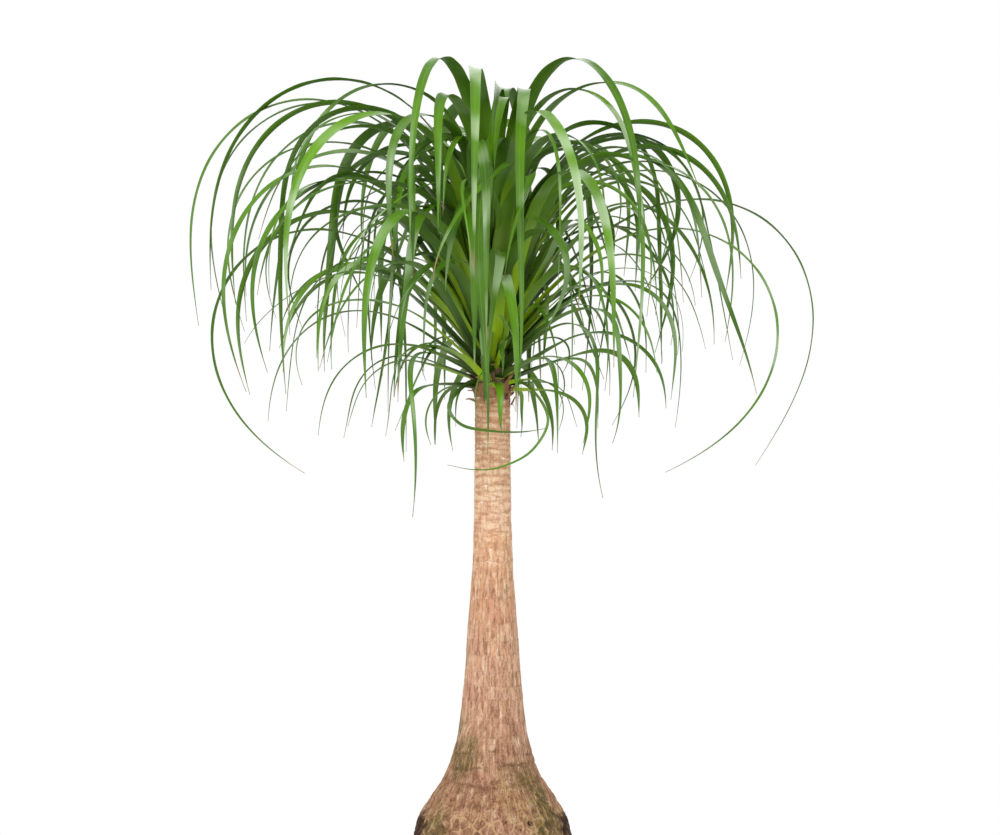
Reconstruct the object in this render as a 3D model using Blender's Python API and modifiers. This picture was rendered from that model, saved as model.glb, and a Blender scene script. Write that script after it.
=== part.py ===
"""Potted ponytail palm: a plain clay pot of soil, a swollen-footed trunk with corky bark, a collar of
withered leaf bases and a crown of long arching strap leaves.

The origin is the centre of the pot's underside, +Z is up, and everything is in metres.
"""
import math
import random

import bmesh
import bpy
import numpy as np

# driving dimensions
GAP = 0.0003                  # clearance between pieces that touch

POT_HEIGHT = 0.250
POT_RIM_RADIUS = 0.150        # outer, at the lip
POT_FOOT_RADIUS = 0.106
POT_WALL = 0.008
POT_FLOOR = 0.013
RIM_BAND_HEIGHT = 0.036
RIM_BAND_STEP = 0.006         # how far the band stands out of the wall
SOIL_LEVEL = 0.228
SOIL_CROWN = 0.005            # the soil rises this much toward the plant

CAUDEX_RADIUS = 0.1095        # the swollen foot at its widest
CAUDEX_HEIGHT = 0.258
CAUDEX_UNDERSIDE = 0.162
UNDERSIDE_TURNS = (0.88, 0.66, 0.44, 0.22)   # rings of the buried foot, from near the middle outward
STEM_RADIUS = 0.0243          # under the crown
STEM_TOP = 0.885
RIDGE_HEIGHT = 0.372          # the net of the foot gives way to bark above this
FOOT_COLUMNS = 54             # a multiple of three, so that the net closes round the foot
STEM_COLUMNS = 24
NET_DEPTH = 0.0034
BARK_DEPTH = 0.0012
BARK_SMOOTH_TOP = 0.026       # length of plain stem inside the collar

COLLAR_HEIGHT = 0.018
COLLAR_WALL = 0.0018
STUB_COUNT = 12

CROWN_BASE = 0.893            # height of the lowest leaf's root
CROWN_TOP = 1.015
BUD_TIP = 1.026
HIGHEST = 1.316               # no leaf arches over above this
LEAF_COUNT = 84
RIBBON_COUNT = 26             # wide leaves that rise steeply, fold over and hang close to the stem
LEAF_SEED = 126
LEAF_STEPS = 42               # steps of a leaf's true curve, which the blade's sections lie on
SEGMENT_LENGTH = 0.110        # about one section of blade to this much leaf, 4 to 6 in all
BEND_SHARE = 0.6              # how far the sections gather where the leaf bends
KEEL = 0.0013                 # blade thickness at the midrib
GOLDEN_ANGLE = math.radians(137.508)

# (height in the crown 0-1, value) for the leaves that the spiral places
LAUNCH_DEGREES = [(0, -2), (0.08, 18), (0.25, 44), (0.5, 61), (0.75, 74), (0.92, 82), (1, 88)]
LEAF_LENGTH = [(0, 0.186), (0.1, 0.298), (0.25, 0.409), (0.5, 0.521), (0.75, 0.577), (0.92, 0.558),
               (1, 0.428)]
# Long leaves that stand out of the crown: height in the crown, azimuth, launch angle, length,
# curl past the vertical, evenness of the bend, sway, sway of the tip, width, lowest reach
LONG_LEAVES = [
    (0.45, 178, 58, 0.74, 60, 0.45, 6, 0, 0.014, 0.7),
    (0.8, 184, 76, 0.8, 10, 0.3, -8, 0, 0.018, 0.7),
    (0.84, 172, 80, 0.78, 16, 0.35, 8, 20, 0.017, 0.7),
    (0.9, 168, 84, 0.8, 6, 0.3, 14, 0, 0.016, 0.7),
    (0.7, 196, 68, 0.7, 25, 0.4, 4, 0, 0.016, 0.7),
    (0.88, 178, 80, 0.72, 8, 0.28, 6, 0, 0.019, 0.82),
    (0.76, 190, 74, 0.68, 14, 0.3, -10, 10, 0.018, 0.8),
    (0.82, 160, 78, 0.7, 10, 0.25, 12, 0, 0.018, 0.84),
    (0.66, 204, 68, 0.62, 20, 0.3, -6, 0, 0.017, 0.8),
    (0.58, 170, 60, 0.6, 16, 0.3, 8, 0, 0.017, 0.82),
    (0.62, 3, 52, 0.8, 36, 0.32, -5, 20, 0.017, 0.7),
    (0.5, -8, 56, 0.76, 66, 0.45, 6, 0, 0.015, 0.7),
    (0.75, 12, 70, 0.66, 18, 0.4, -6, 0, 0.016, 0.7),
    (0.86, 4, 80, 0.66, 8, 0.3, 6, 0, 0.018, 0.84),
    (0.72, -16, 72, 0.62, 12, 0.3, -8, 10, 0.018, 0.8),
    (0.6, -100, 68, 0.68, 6, 0.2, 10, 0, 0.021, 0.8),
    (0.78, -88, 78, 0.76, 2, 0.15, -12, 0, 0.023, 0.79),
    (0.66, -76, 72, 0.72, 4, 0.2, 8, 0, 0.022, 0.83),
    (0.5, -64, 62, 0.66, 2, 0.2, -8, 0, 0.021, 0.76),
    (0.84, -68, 80, 0.78, 0, 0.2, 10, 0, 0.022, 0.84),
    (0.42, -112, 56, 0.6, 6, 0.2, -6, 0, 0.02, 0.8),
    (0.3, -86, 48, 0.44, 4, 0.2, 6, 0, 0.02, 0.74),
    (0.7, -124, 74, 0.72, 6, 0.2, -8, 0, 0.022, 0.78),
    (0.9, -112, 84, 0.8, 0, 0.15, 8, 0, 0.023, 0.86),
    (0.2, -50, 36, 0.46, 20, 0.5, -30, -170, 0.01, 0.7),
    (0.12, -128, 24, 0.42, 12, 0.5, 34, 165, 0.009, 0.72),
]


# ---------------------------------------------------------------- helpers
def smooth(x):
    """Smoothstep of a number or an array."""
    x = np.clip(x, 0, 1)
    return x * x * (3 - 2 * x)


def along(x, points):
    """Value at x on a broken line of (x, value) points."""
    return float(np.interp(x, [p[0] for p in points], [p[1] for p in points]))


def material(name, colour, roughness, metallic=0.0):
    """A Principled material of one colour, given as sRGB 0-255."""
    mat = bpy.data.materials.new(name)
    mat.use_nodes = True
    bsdf = mat.node_tree.nodes["Principled BSDF"]
    linear = [((c / 255 + 0.055) / 1.055) ** 2.4 for c in colour]
    bsdf.inputs["Base Color"].default_value = (*linear, 1)
    bsdf.inputs["Roughness"].default_value = roughness
    bsdf.inputs["Metallic"].default_value = metallic
    mat.diffuse_color = (*linear, 1)
    return mat


def add_object(name, mesh, mat, collection):
    """Link a mesh as a named object with its own material."""
    obj = bpy.data.objects.new(name, mesh)
    mesh.materials.append(mat)
    collection.objects.link(obj)
    return obj


def turned(name, profile, closed, steps, mat, collection):
    """A solid turned round Z from a profile of (radius, height) that runs down its outer side."""
    mesh = bpy.data.meshes.new(name)
    count = len(profile)
    edges = [(k, (k + 1) % count) for k in range(count if closed else count - 1)]
    mesh.from_pydata([(r, 0, z) for r, z in profile], edges, [])
    obj = add_object(name, mesh, mat, collection)
    screw = obj.modifiers.new("turn", "SCREW")
    screw.axis = "Z"
    screw.steps = screw.render_steps = steps
    screw.use_merge_vertices = True
    screw.merge_threshold = 0.0001
    screw.use_smooth_shade = True
    return obj


def apply_modifiers(obj):
    """Replace an object's mesh by what its modifiers make of it."""
    depsgraph = bpy.context.evaluated_depsgraph_get()
    mesh = bpy.data.meshes.new_from_object(obj.evaluated_get(depsgraph))
    old = obj.data
    obj.modifiers.clear()
    obj.data = mesh
    mesh.name = old.name
    bpy.data.meshes.remove(old)


def shade_round(obj, degrees=40):
    """Smooth shading with sharp edges where faces meet steeply."""
    obj.data.shade_smooth()
    obj.data.set_sharp_from_angle(angle=math.radians(degrees))


def keep_outer_body(mesh):
    """Fill the hollows that a union seals and drop loose scraps: only the largest shell stays."""
    bm = bmesh.new()
    bm.from_mesh(mesh)
    unseen = set(bm.verts)
    shells = []
    while unseen:
        seed = unseen.pop()
        shell, front = {seed}, [seed]
        while front:
            for edge in front.pop().link_edges:
                for vert in edge.verts:
                    if vert in unseen:
                        unseen.remove(vert)
                        shell.add(vert)
                        front.append(vert)
        shells.append(shell)
    biggest = max(shells, key=len)
    bmesh.ops.delete(bm, geom=[v for s in shells if s is not biggest for v in s], context="VERTS")
    bm.to_mesh(mesh)
    bm.free()


def union(body, pieces, cutters):
    """Join the loose pieces into the body with one Boolean union, then remove them."""
    group = bpy.data.collections.new(body.name + "_pieces")
    cutters.children.link(group)
    for piece in pieces:
        group.objects.link(piece)
    join = body.modifiers.new("join", "BOOLEAN")
    join.operation = "UNION"
    join.operand_type = "COLLECTION"
    join.collection = group
    join.solver = "MANIFOLD"
    apply_modifiers(body)
    keep_outer_body(body.data)
    for piece in pieces:
        mesh = piece.data
        bpy.data.objects.remove(piece)
        bpy.data.meshes.remove(mesh)
    bpy.data.collections.remove(group)


def loft(name, sections):
    """A closed solid through sections of equally many points, each counter-clockwise seen from its end.

    Each four-sided patch is split along the diagonal that bulges outward, so a twisted blade stays clear
    of its own underside.
    """
    bm = bmesh.new()
    rings = [[bm.verts.new(p) for p in section] for section in sections]
    count = len(rings[0])
    for low, high in zip(rings, rings[1:]):
        for k in range(count):
            a, b, c, d = low[k], low[(k + 1) % count], high[(k + 1) % count], high[k]
            outward = (c.co - a.co).cross(d.co - b.co)
            if outward.dot(a.co + c.co - b.co - d.co) > 0:
                patch = ((a, b, c), (a, c, d))
            else:
                patch = ((a, b, d), (b, c, d))
            for corners in patch:
                bm.faces.new(corners)
    bm.faces.new(rings[0][::-1])
    bm.faces.new(rings[-1])
    mesh = bpy.data.meshes.new(name)
    bm.to_mesh(mesh)
    bm.free()
    return bpy.data.objects.new(name, mesh)


# ---------------------------------------------------------------- pot and soil
def wall_radius(z, inset=0.0):
    """The pot's outer radius under its band at a height, less an inset."""
    top = POT_RIM_RADIUS - RIM_BAND_STEP
    return POT_FOOT_RADIUS + (top - POT_FOOT_RADIUS) * z / POT_HEIGHT - inset


def make_pot(collection):
    """A tapered pot with a band at the lip, one closed wall from the floor inside to the underside."""
    band = POT_HEIGHT - RIM_BAND_HEIGHT
    lip = 0.003
    profile = [
        (0, POT_FLOOR),
        (wall_radius(POT_FLOOR, POT_WALL) - 0.006, POT_FLOOR),
        (wall_radius(POT_FLOOR + 0.006, POT_WALL), POT_FLOOR + 0.006),
        (wall_radius(POT_HEIGHT - lip, POT_WALL), POT_HEIGHT - lip),
        (wall_radius(POT_HEIGHT, POT_WALL) + lip, POT_HEIGHT),
        (POT_RIM_RADIUS - lip, POT_HEIGHT),
        (POT_RIM_RADIUS, POT_HEIGHT - lip),
        (wall_radius(band) + RIM_BAND_STEP, band + 0.002),
        (wall_radius(band) + RIM_BAND_STEP - 0.002, band),
        (wall_radius(band), band - 0.001),
        (wall_radius(0.003), 0.003),
        (wall_radius(0, 0.003), 0),
        (0, 0),
    ]
    mat = material("pot_clay", (176, 104, 74), 0.75)
    return turned("pot", profile, False, 40, mat, collection)


def underside(turns, clearance=0.0):
    """The buried foot as part of an ellipse: its (radius, height) from the soil (0) to the middle (1)."""
    angle = turns * math.pi / 2
    radius = foot_radius(SOIL_LEVEL + SOIL_CROWN) + clearance
    drop = SOIL_LEVEL + SOIL_CROWN - CAUDEX_UNDERSIDE + clearance
    return radius * math.cos(angle), SOIL_LEVEL + SOIL_CROWN - drop * math.sin(angle)


def make_soil(collection):
    """Soil that fills the pot, with a bowl that the foot of the plant stands in."""
    clearance = GAP + 0.0004
    bowl = [underside(t, clearance) for t in (1, *UNDERSIDE_TURNS, 0)]
    outer = SOIL_LEVEL - 0.002
    floor = POT_FLOOR + GAP
    edge = wall_radius(outer, POT_WALL + GAP)
    foot = wall_radius(POT_FLOOR + 0.006, POT_WALL + GAP)
    profile = [(0, bowl[0][1])] + bowl[1:] + [
        (bowl[-1][0] + 0.004, bowl[-1][1]),
        ((bowl[-1][0] + edge) / 2, SOIL_LEVEL + 0.001),
        (edge, outer),
        (foot, POT_FLOOR + 0.007),
        (foot - 0.007, floor),
        (0, floor),
    ]
    mat = material("potting_soil", (58, 44, 34), 0.95)
    return turned("soil", profile, False, 40, mat, collection)


# ---------------------------------------------------------------- trunk
def foot_radius(z):
    """The plant's outline: a swollen foot that draws in to a slim, nearly straight stem."""
    outline = [
        (0.190, 0.0850), (0.232, 0.1035), (CAUDEX_HEIGHT, CAUDEX_RADIUS), (0.288, 0.1065), (0.315, 0.0985),
        (0.342, 0.0825), (0.369, 0.0645), (0.396, 0.0540), (0.430, 0.0466), (0.500, 0.0388),
        (0.580, 0.0332), (0.660, 0.0274), (0.780, 0.0250), (STEM_TOP, STEM_RADIUS), (0.95, STEM_RADIUS),
    ]
    heights = np.array([p[0] for p in outline])
    radii = np.array([p[1] for p in outline])
    k = int(np.clip(np.searchsorted(heights, z) - 1, 1, len(heights) - 3))
    slopes = [(radii[j + 1] - radii[j - 1]) / (heights[j + 1] - heights[j - 1]) for j in (k, k + 1)]
    step = heights[k + 1] - heights[k]
    t = min(1.0, max(0.0, (z - heights[k]) / step))
    a, b = radii[k], radii[k + 1]
    return (a * (1 + 2 * t) * (1 - t) ** 2 + b * t * t * (3 - 2 * t)
            + step * (slopes[0] * t * (1 - t) ** 2 - slopes[1] * t * t * (1 - t)))


def ring_heights(start, end, spacing):
    """Heights between two levels, evenly spaced along the outline's slope."""
    levels = np.linspace(start, end, 400)
    radii = np.array([foot_radius(z) for z in levels])
    path = np.concatenate([[0], np.cumsum(np.hypot(np.diff(levels), np.diff(radii)))])
    count = round(path[-1] / spacing)
    return [float(z) for z in np.interp(np.linspace(0, path[-1], count + 1), path, levels)]


def add_ring(bm, columns, shift, point):
    """A ring of vertices with their angles; point(k, angle) gives (angle, radius, height)."""
    ring = []
    for k in range(columns):
        angle, radius, z = point(k, 2 * math.pi * (k + shift) / columns)
        ring.append((angle, bm.verts.new((radius * math.cos(angle), radius * math.sin(angle), z))))
    return ring


def stitch(bm, low, high):
    """Triangles between two rings whose vertices may differ in number, taken in order of angle."""
    n, m = len(low), len(high)
    i = j = 0
    while i < n or j < m:
        next_low = low[(i + 1) % n][0] + 2 * math.pi * ((i + 1) // n)
        next_high = high[(j + 1) % m][0] + 2 * math.pi * ((j + 1) // m)
        a, b = low[i % n][1], high[j % m][1]
        if j >= m or (i < n and next_low <= next_high):
            bm.faces.new((a, low[(i + 1) % n][1], b))
            i += 1
        else:
            bm.faces.new((a, high[(j + 1) % m][1], b))
            j += 1


def make_trunk(collection):
    """Foot and stem as one body: a raised corky net below, ridges over it, cracked bark rings above."""
    rng = random.Random(11)
    bm = bmesh.new()
    rings = []

    for turns in UNDERSIDE_TURNS:
        radius, z = underside(turns)
        rings.append(add_ring(bm, FOOT_COLUMNS // 2, 0, lambda k, a, r=radius, h=z: (a, r, h)))

    net_levels = ring_heights(SOIL_LEVEL + SOIL_CROWN, RIDGE_HEIGHT, 0.0112)
    pitch = 2 * math.pi / FOOT_COLUMNS
    for row, level in enumerate(net_levels):
        fade = float(smooth((level - net_levels[0]) / 0.012) * (1 - 0.5 * smooth((level - 0.33) / 0.04)))

        def net_point(k, angle, row=row, level=level, fade=fade):
            middle = (k - row // 2 - row) % 3 == 0
            depth = -NET_DEPTH * rng.uniform(0.7, 1.1) if middle else 0.0008 * rng.uniform(0, 1)
            drift = 0.16 * fade
            z = level + drift * 0.011 * rng.uniform(-1, 1)
            return angle + drift * pitch * rng.uniform(-1, 1), foot_radius(z) + depth * fade, z

        rings.append(add_ring(bm, FOOT_COLUMNS, 0.5 * (row % 2), net_point))

    bark_levels = ring_heights(RIDGE_HEIGHT + 0.010, STEM_TOP - 0.001, 0.0112)
    plates = [0.0] * STEM_COLUMNS
    for row, level in enumerate(bark_levels):
        if row % 2 == 0:
            plates = [rng.uniform(-1, 1) for _ in range(STEM_COLUMNS)]
        groove = 0.9 if row % 2 else 0.0
        fade = 1 - float(smooth((level - (STEM_TOP - BARK_SMOOTH_TOP - 0.012)) / 0.010))

        def bark_point(k, angle, level=level, groove=groove, fade=fade, plates=plates):
            depth = BARK_DEPTH * (0.8 * plates[k] - groove - 0.3) * (1 + 1.2 * smooth((0.43 - level) / 0.05))
            return angle + 0.05 * fade * plates[k] * 2 * math.pi / 24, foot_radius(level) + depth * fade, level

        rings.append(add_ring(bm, STEM_COLUMNS, 0, bark_point))

    for low, high in zip(rings, rings[1:]):
        stitch(bm, low, high)
    bottom = bm.verts.new((0, 0, CAUDEX_UNDERSIDE))
    for k, (_, vert) in enumerate(rings[0]):
        bm.faces.new((rings[0][(k + 1) % len(rings[0])][1], vert, bottom))
    bm.faces.new([vert for _, vert in rings[-1]])

    mesh = bpy.data.meshes.new("trunk")
    bm.to_mesh(mesh)
    bm.free()
    trunk = add_object("trunk", mesh, material("trunk_bark", (188, 144, 112), 0.85), collection)
    shade_round(trunk, 18)
    return trunk


# ---------------------------------------------------------------- withered leaf bases
def make_collar(collection, cutters):
    """The ring of dry, torn leaf bases that clasps the stem just under the living leaves."""
    rng = random.Random(4)
    top, inner = STEM_TOP, STEM_RADIUS + GAP + 0.0002
    profile = [
        (inner, top), (inner + COLLAR_WALL * 1.3, top - 0.0005),
        (inner + COLLAR_WALL, top - COLLAR_HEIGHT * 0.6), (inner + COLLAR_WALL * 0.35, top - COLLAR_HEIGHT),
        (inner, top - COLLAR_HEIGHT),
    ]
    mat = material("dry_leaf_bases", (124, 88, 58), 0.9)
    collar = turned("old_leaf_bases", profile, True, 16, mat, collection)
    stubs = []
    for k in range(STUB_COUNT):
        angle = k * GOLDEN_ANGLE + rng.uniform(-0.1, 0.1)
        length = rng.uniform(0.010, 0.022)
        lift = math.radians(rng.uniform(-50, 45) - 25 * k / STUB_COUNT)
        half = rng.uniform(0.0045, 0.0070)
        root = top - 0.003 - (COLLAR_HEIGHT - 0.006) * k / (STUB_COUNT - 1)
        out = np.array([math.cos(angle), math.sin(angle), 0])
        side = np.array([-math.sin(angle), math.cos(angle), 0])
        sections = []
        for share in (0, 0.5, 1):
            slope = lift - 0.5 * share
            reach = out * (inner + 0.0012 + length * share * math.cos(slope))
            centre = reach + np.array([0, 0, root + length * share * math.sin(slope)])
            up = np.cross(out * math.cos(slope) + np.array([0, 0, math.sin(slope)]), side)
            width = half * (1 - 0.75 * share ** 1.5)
            edge = side * width
            sections.append([centre - edge + up * 0.0004, centre - up * 0.0012, centre + edge + up * 0.0004,
                             centre + up * 0.0003])
        stubs.append(loft("stub", sections))
    union(collar, stubs, cutters)
    shade_round(collar)
    return collar


# ---------------------------------------------------------------- crown of leaves
def bud_radius(t):
    """Radius of the column of packed leaf bases at a height share t of the crown."""
    return 0.024 - 0.004 * t - 0.012 * t ** 3


def leaf_rule():
    """Every leaf as a dictionary: two golden-angle spirals up the bud, then the long leaves."""
    rng = random.Random(LEAF_SEED)
    leaves = []
    for i in range(LEAF_COUNT):
        t = i / (LEAF_COUNT - 1)
        leaves.append({
            "height": t,
            "azimuth": i * GOLDEN_ANGLE + rng.uniform(-0.08, 0.08),
            "launch": math.radians(along(t, LAUNCH_DEGREES) + rng.triangular(-10, 10, 0)),
            "length": along(t, LEAF_LENGTH) * rng.uniform(0.78, 1.12),
            "curl": math.radians(rng.triangular(-34, 40, 3)),
            "start": rng.uniform(0.15, 0.31),
            "stop": rng.uniform(0.86, 1.06),
            "even": rng.uniform(0.08, 0.38),
            "sway": math.radians(rng.triangular(-34, 34, 0)),
            "tip_sway": math.radians(rng.triangular(-100, 100, 0)),
            "twist": math.radians(rng.triangular(-150, 150, 0)) * 0.6,
            "width": rng.uniform(0.0145, 0.0205) * (0.8 + 0.35 * float(smooth(1.3 * t))),
            "lowest": max(rng.gauss(0.825, 0.045), 0.72),
            "wander": math.radians(rng.triangular(-40, 40, 0)), "phase": rng.uniform(0, 6.28),
        })
    for i in range(RIBBON_COUNT):
        t = 0.34 + 0.62 * i / (RIBBON_COUNT - 1)
        leaves.append({
            "height": t,
            "azimuth": i * GOLDEN_ANGLE + math.radians(-92) + rng.uniform(-0.2, 0.2),
            "launch": math.radians(68 + 20 * t + rng.uniform(-7, 5)),
            "length": rng.uniform(0.68, 0.90),
            "curl": math.radians(rng.triangular(-14, 14, 0)),
            "start": rng.uniform(0.19, 0.29) - 0.08 * (1 - t),
            "stop": rng.uniform(0.56, 0.74),
            "even": rng.uniform(0.05, 0.18),
            "sway": math.radians(rng.triangular(-26, 26, 0)),
            "tip_sway": math.radians(rng.triangular(-60, 60, 0)),
            "twist": math.radians(rng.triangular(-150, 150, 0)) * 0.6,
            "width": rng.uniform(0.0185, 0.0240),
            "lowest": rng.uniform(0.78, 0.93),
            "wander": math.radians(rng.triangular(-26, 26, 0)), "phase": rng.uniform(0, 6.28),
        })
    for t, azimuth, launch, length, curl, even, sway, tip_sway, width, lowest in LONG_LEAVES:
        leaves.append({
            "height": t, "azimuth": math.radians(azimuth), "launch": math.radians(launch),
            "length": length, "curl": math.radians(curl), "start": 0.16, "stop": 0.95, "even": even,
            "sway": math.radians(sway), "tip_sway": math.radians(tip_sway),
            "twist": math.radians(rng.uniform(-90, 90)) * 0.6, "width": width, "lowest": lowest,
            "wander": math.radians(rng.uniform(-12, 12)), "phase": rng.uniform(0, 6.28),
        })
    return leaves


def leaf_curve(leaf):
    """Midrib points, width directions and half widths of a leaf that rises, arches over and hangs."""
    u = np.linspace(0, 1, LEAF_STEPS + 1)
    mid = (u[1:] + u[:-1]) / 2
    bend = leaf["launch"] + math.pi / 2 + leaf["curl"]
    eased = (1 - leaf["even"]) * smooth((mid - leaf["start"]) / (leaf["stop"] - leaf["start"]))
    slope = (leaf["launch"] - bend * (eased + leaf["even"] * mid)
             + 0.45 * leaf["wander"] * np.cos(leaf["phase"] + 8 * mid) * smooth((mid - 0.2) / 0.4))
    heading = (leaf["azimuth"] + leaf["sway"] * smooth(mid / 0.7)
               + leaf["tip_sway"] * np.clip(mid - 0.5, 0, 1) ** 1.5
               + leaf["wander"] * np.sin(leaf["phase"] + 7 * mid) * smooth(mid / 0.4))
    steps = np.stack([np.cos(slope) * np.cos(heading), np.cos(slope) * np.sin(heading), np.sin(slope)], 1)

    root_z = CROWN_BASE + (CROWN_TOP - CROWN_BASE) * leaf["height"]
    fall, rise = steps[:, 2].mean(), max(np.cumsum(steps[:, 2]).max() / LEAF_STEPS, 0.05)
    length = min(leaf["length"], (HIGHEST - 0.02 * leaf["even"] - root_z) / rise)
    if root_z + length * fall < leaf["lowest"]:
        length = max((leaf["lowest"] - root_z) / fall, 0.14)
    radius = bud_radius(leaf["height"]) - 0.004
    root = np.array([radius * math.cos(leaf["azimuth"]), radius * math.sin(leaf["azimuth"]), root_z])
    points = np.vstack([root, root + np.cumsum(steps * length / LEAF_STEPS, 0)])

    tangent = np.gradient(points, axis=0)
    tangent /= np.linalg.norm(tangent, axis=1)[:, None]
    across = np.array([-math.sin(leaf["azimuth"]), math.cos(leaf["azimuth"]), 0])
    side = across - (tangent @ across)[:, None] * tangent
    side /= np.linalg.norm(side, axis=1)[:, None]
    face = np.cross(tangent, side)
    roll = (leaf["twist"] * smooth((u - 0.15) / 0.85))[:, None]
    side, face = side * np.cos(roll) + face * np.sin(roll), face * np.cos(roll) - side * np.sin(roll)

    taper = 0.94 * (1 - u ** 2.4) ** 0.95 + 0.06 * (1 - u)
    half = leaf["width"] / 2 * (0.25 + 0.75 * smooth(u / 0.16)) * taper
    return points, side, face, half


def stations(points):
    """Steps of a leaf's curve that a blade's sections stand on, closer together where it bends."""
    spans = np.diff(points, axis=0)
    lengths = np.linalg.norm(spans, axis=1)
    heads = spans / lengths[:, None]
    turns = np.degrees(np.arccos(np.clip((heads[1:] * heads[:-1]).sum(1), -1, 1)))
    bend = np.concatenate([[0], np.cumsum(turns), [turns.sum()]])
    path = np.concatenate([[0], np.cumsum(lengths)])
    measure = BEND_SHARE * bend / bend[-1] + (1 - BEND_SHARE) * path / path[-1]
    count = min(6, max(4, round(path[-1] / SEGMENT_LENGTH)))
    return np.interp(np.linspace(0, 1, count + 1), measure, np.arange(len(points))).round().astype(int)


def make_crown(collection, cutters):
    """The bud of packed leaf bases with every leaf rooted in it, joined into one body."""
    levels = np.linspace(1, 0, 4)
    profile = [(0, BUD_TIP)] + [
        (bud_radius(t), CROWN_BASE + (CROWN_TOP - CROWN_BASE) * t) for t in levels
    ] + [(STEM_RADIUS - 0.0006, STEM_TOP + GAP), (0, STEM_TOP + GAP)]
    crown = turned("leaf_crown", profile, False, 12, material("leaf_green", (74, 128, 46), 0.45), collection)
    blades = []
    for leaf in leaf_rule():
        points, side, face, half = leaf_curve(leaf)
        half = np.maximum(half, 0.0009)
        sections = [
            [points[k] - side[k] * half[k], points[k] - face[k] * KEEL, points[k] + side[k] * half[k]]
            for k in stations(points)
        ]
        blades.append(loft("blade", sections))
    union(crown, blades, cutters)
    shade_round(crown, 50)
    return crown


def main():
    for obj in list(bpy.data.objects):
        bpy.data.objects.remove(obj, do_unlink=True)
    parts = bpy.data.collections.new("potted_ponytail_palm")
    cutters = bpy.data.collections.new("cutters")
    for group in (parts, cutters):
        bpy.context.scene.collection.children.link(group)
    make_pot(parts)
    make_soil(parts)
    make_trunk(parts)
    make_collar(parts, cutters)
    make_crown(parts, cutters)


main()
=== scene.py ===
import math
import random

import bpy
import numpy as np
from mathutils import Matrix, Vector
from mathutils.kdtree import KDTree


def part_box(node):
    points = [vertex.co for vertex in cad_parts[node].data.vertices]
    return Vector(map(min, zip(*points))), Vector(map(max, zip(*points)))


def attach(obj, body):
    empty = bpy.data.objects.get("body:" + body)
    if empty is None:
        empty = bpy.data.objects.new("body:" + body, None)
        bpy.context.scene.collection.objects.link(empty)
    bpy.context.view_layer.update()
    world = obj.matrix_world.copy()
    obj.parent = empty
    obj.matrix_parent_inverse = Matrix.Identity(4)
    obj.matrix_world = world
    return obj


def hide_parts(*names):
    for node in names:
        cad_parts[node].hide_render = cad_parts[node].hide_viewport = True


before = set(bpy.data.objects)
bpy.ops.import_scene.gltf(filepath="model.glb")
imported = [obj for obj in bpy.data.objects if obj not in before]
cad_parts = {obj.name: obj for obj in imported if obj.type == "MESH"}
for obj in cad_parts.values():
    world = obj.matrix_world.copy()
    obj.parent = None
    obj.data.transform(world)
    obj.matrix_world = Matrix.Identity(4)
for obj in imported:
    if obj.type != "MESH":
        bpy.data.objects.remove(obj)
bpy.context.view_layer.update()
# lowest and highest corner of each node, to a tenth of a millimetre
potBox, soilBox, trunkBox, collarBox, crownBox = (
    [[round(float(v), 4) for v in corner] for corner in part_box(node)]
    for node in ("pot", "soil", "trunk", "old_leaf_bases", "leaf_crown"))
stemTop = collarBox[1][2]
print("frame loaded")


# shader maths: a Wire is one socket, and arithmetic on wires adds the nodes
class Wire:
    def __init__(self, finish, socket):
        self.finish, self.socket = finish, socket

    def __add__(self, other):
        return self.finish.maths("ADD", self, other)

    def __sub__(self, other):
        return self.finish.maths("SUBTRACT", self, other)

    def __rsub__(self, other):
        return self.finish.maths("SUBTRACT", other, self)

    def __mul__(self, other):
        return self.finish.maths("MULTIPLY", self, other)

    __radd__ = __add__
    __rmul__ = __mul__


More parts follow.
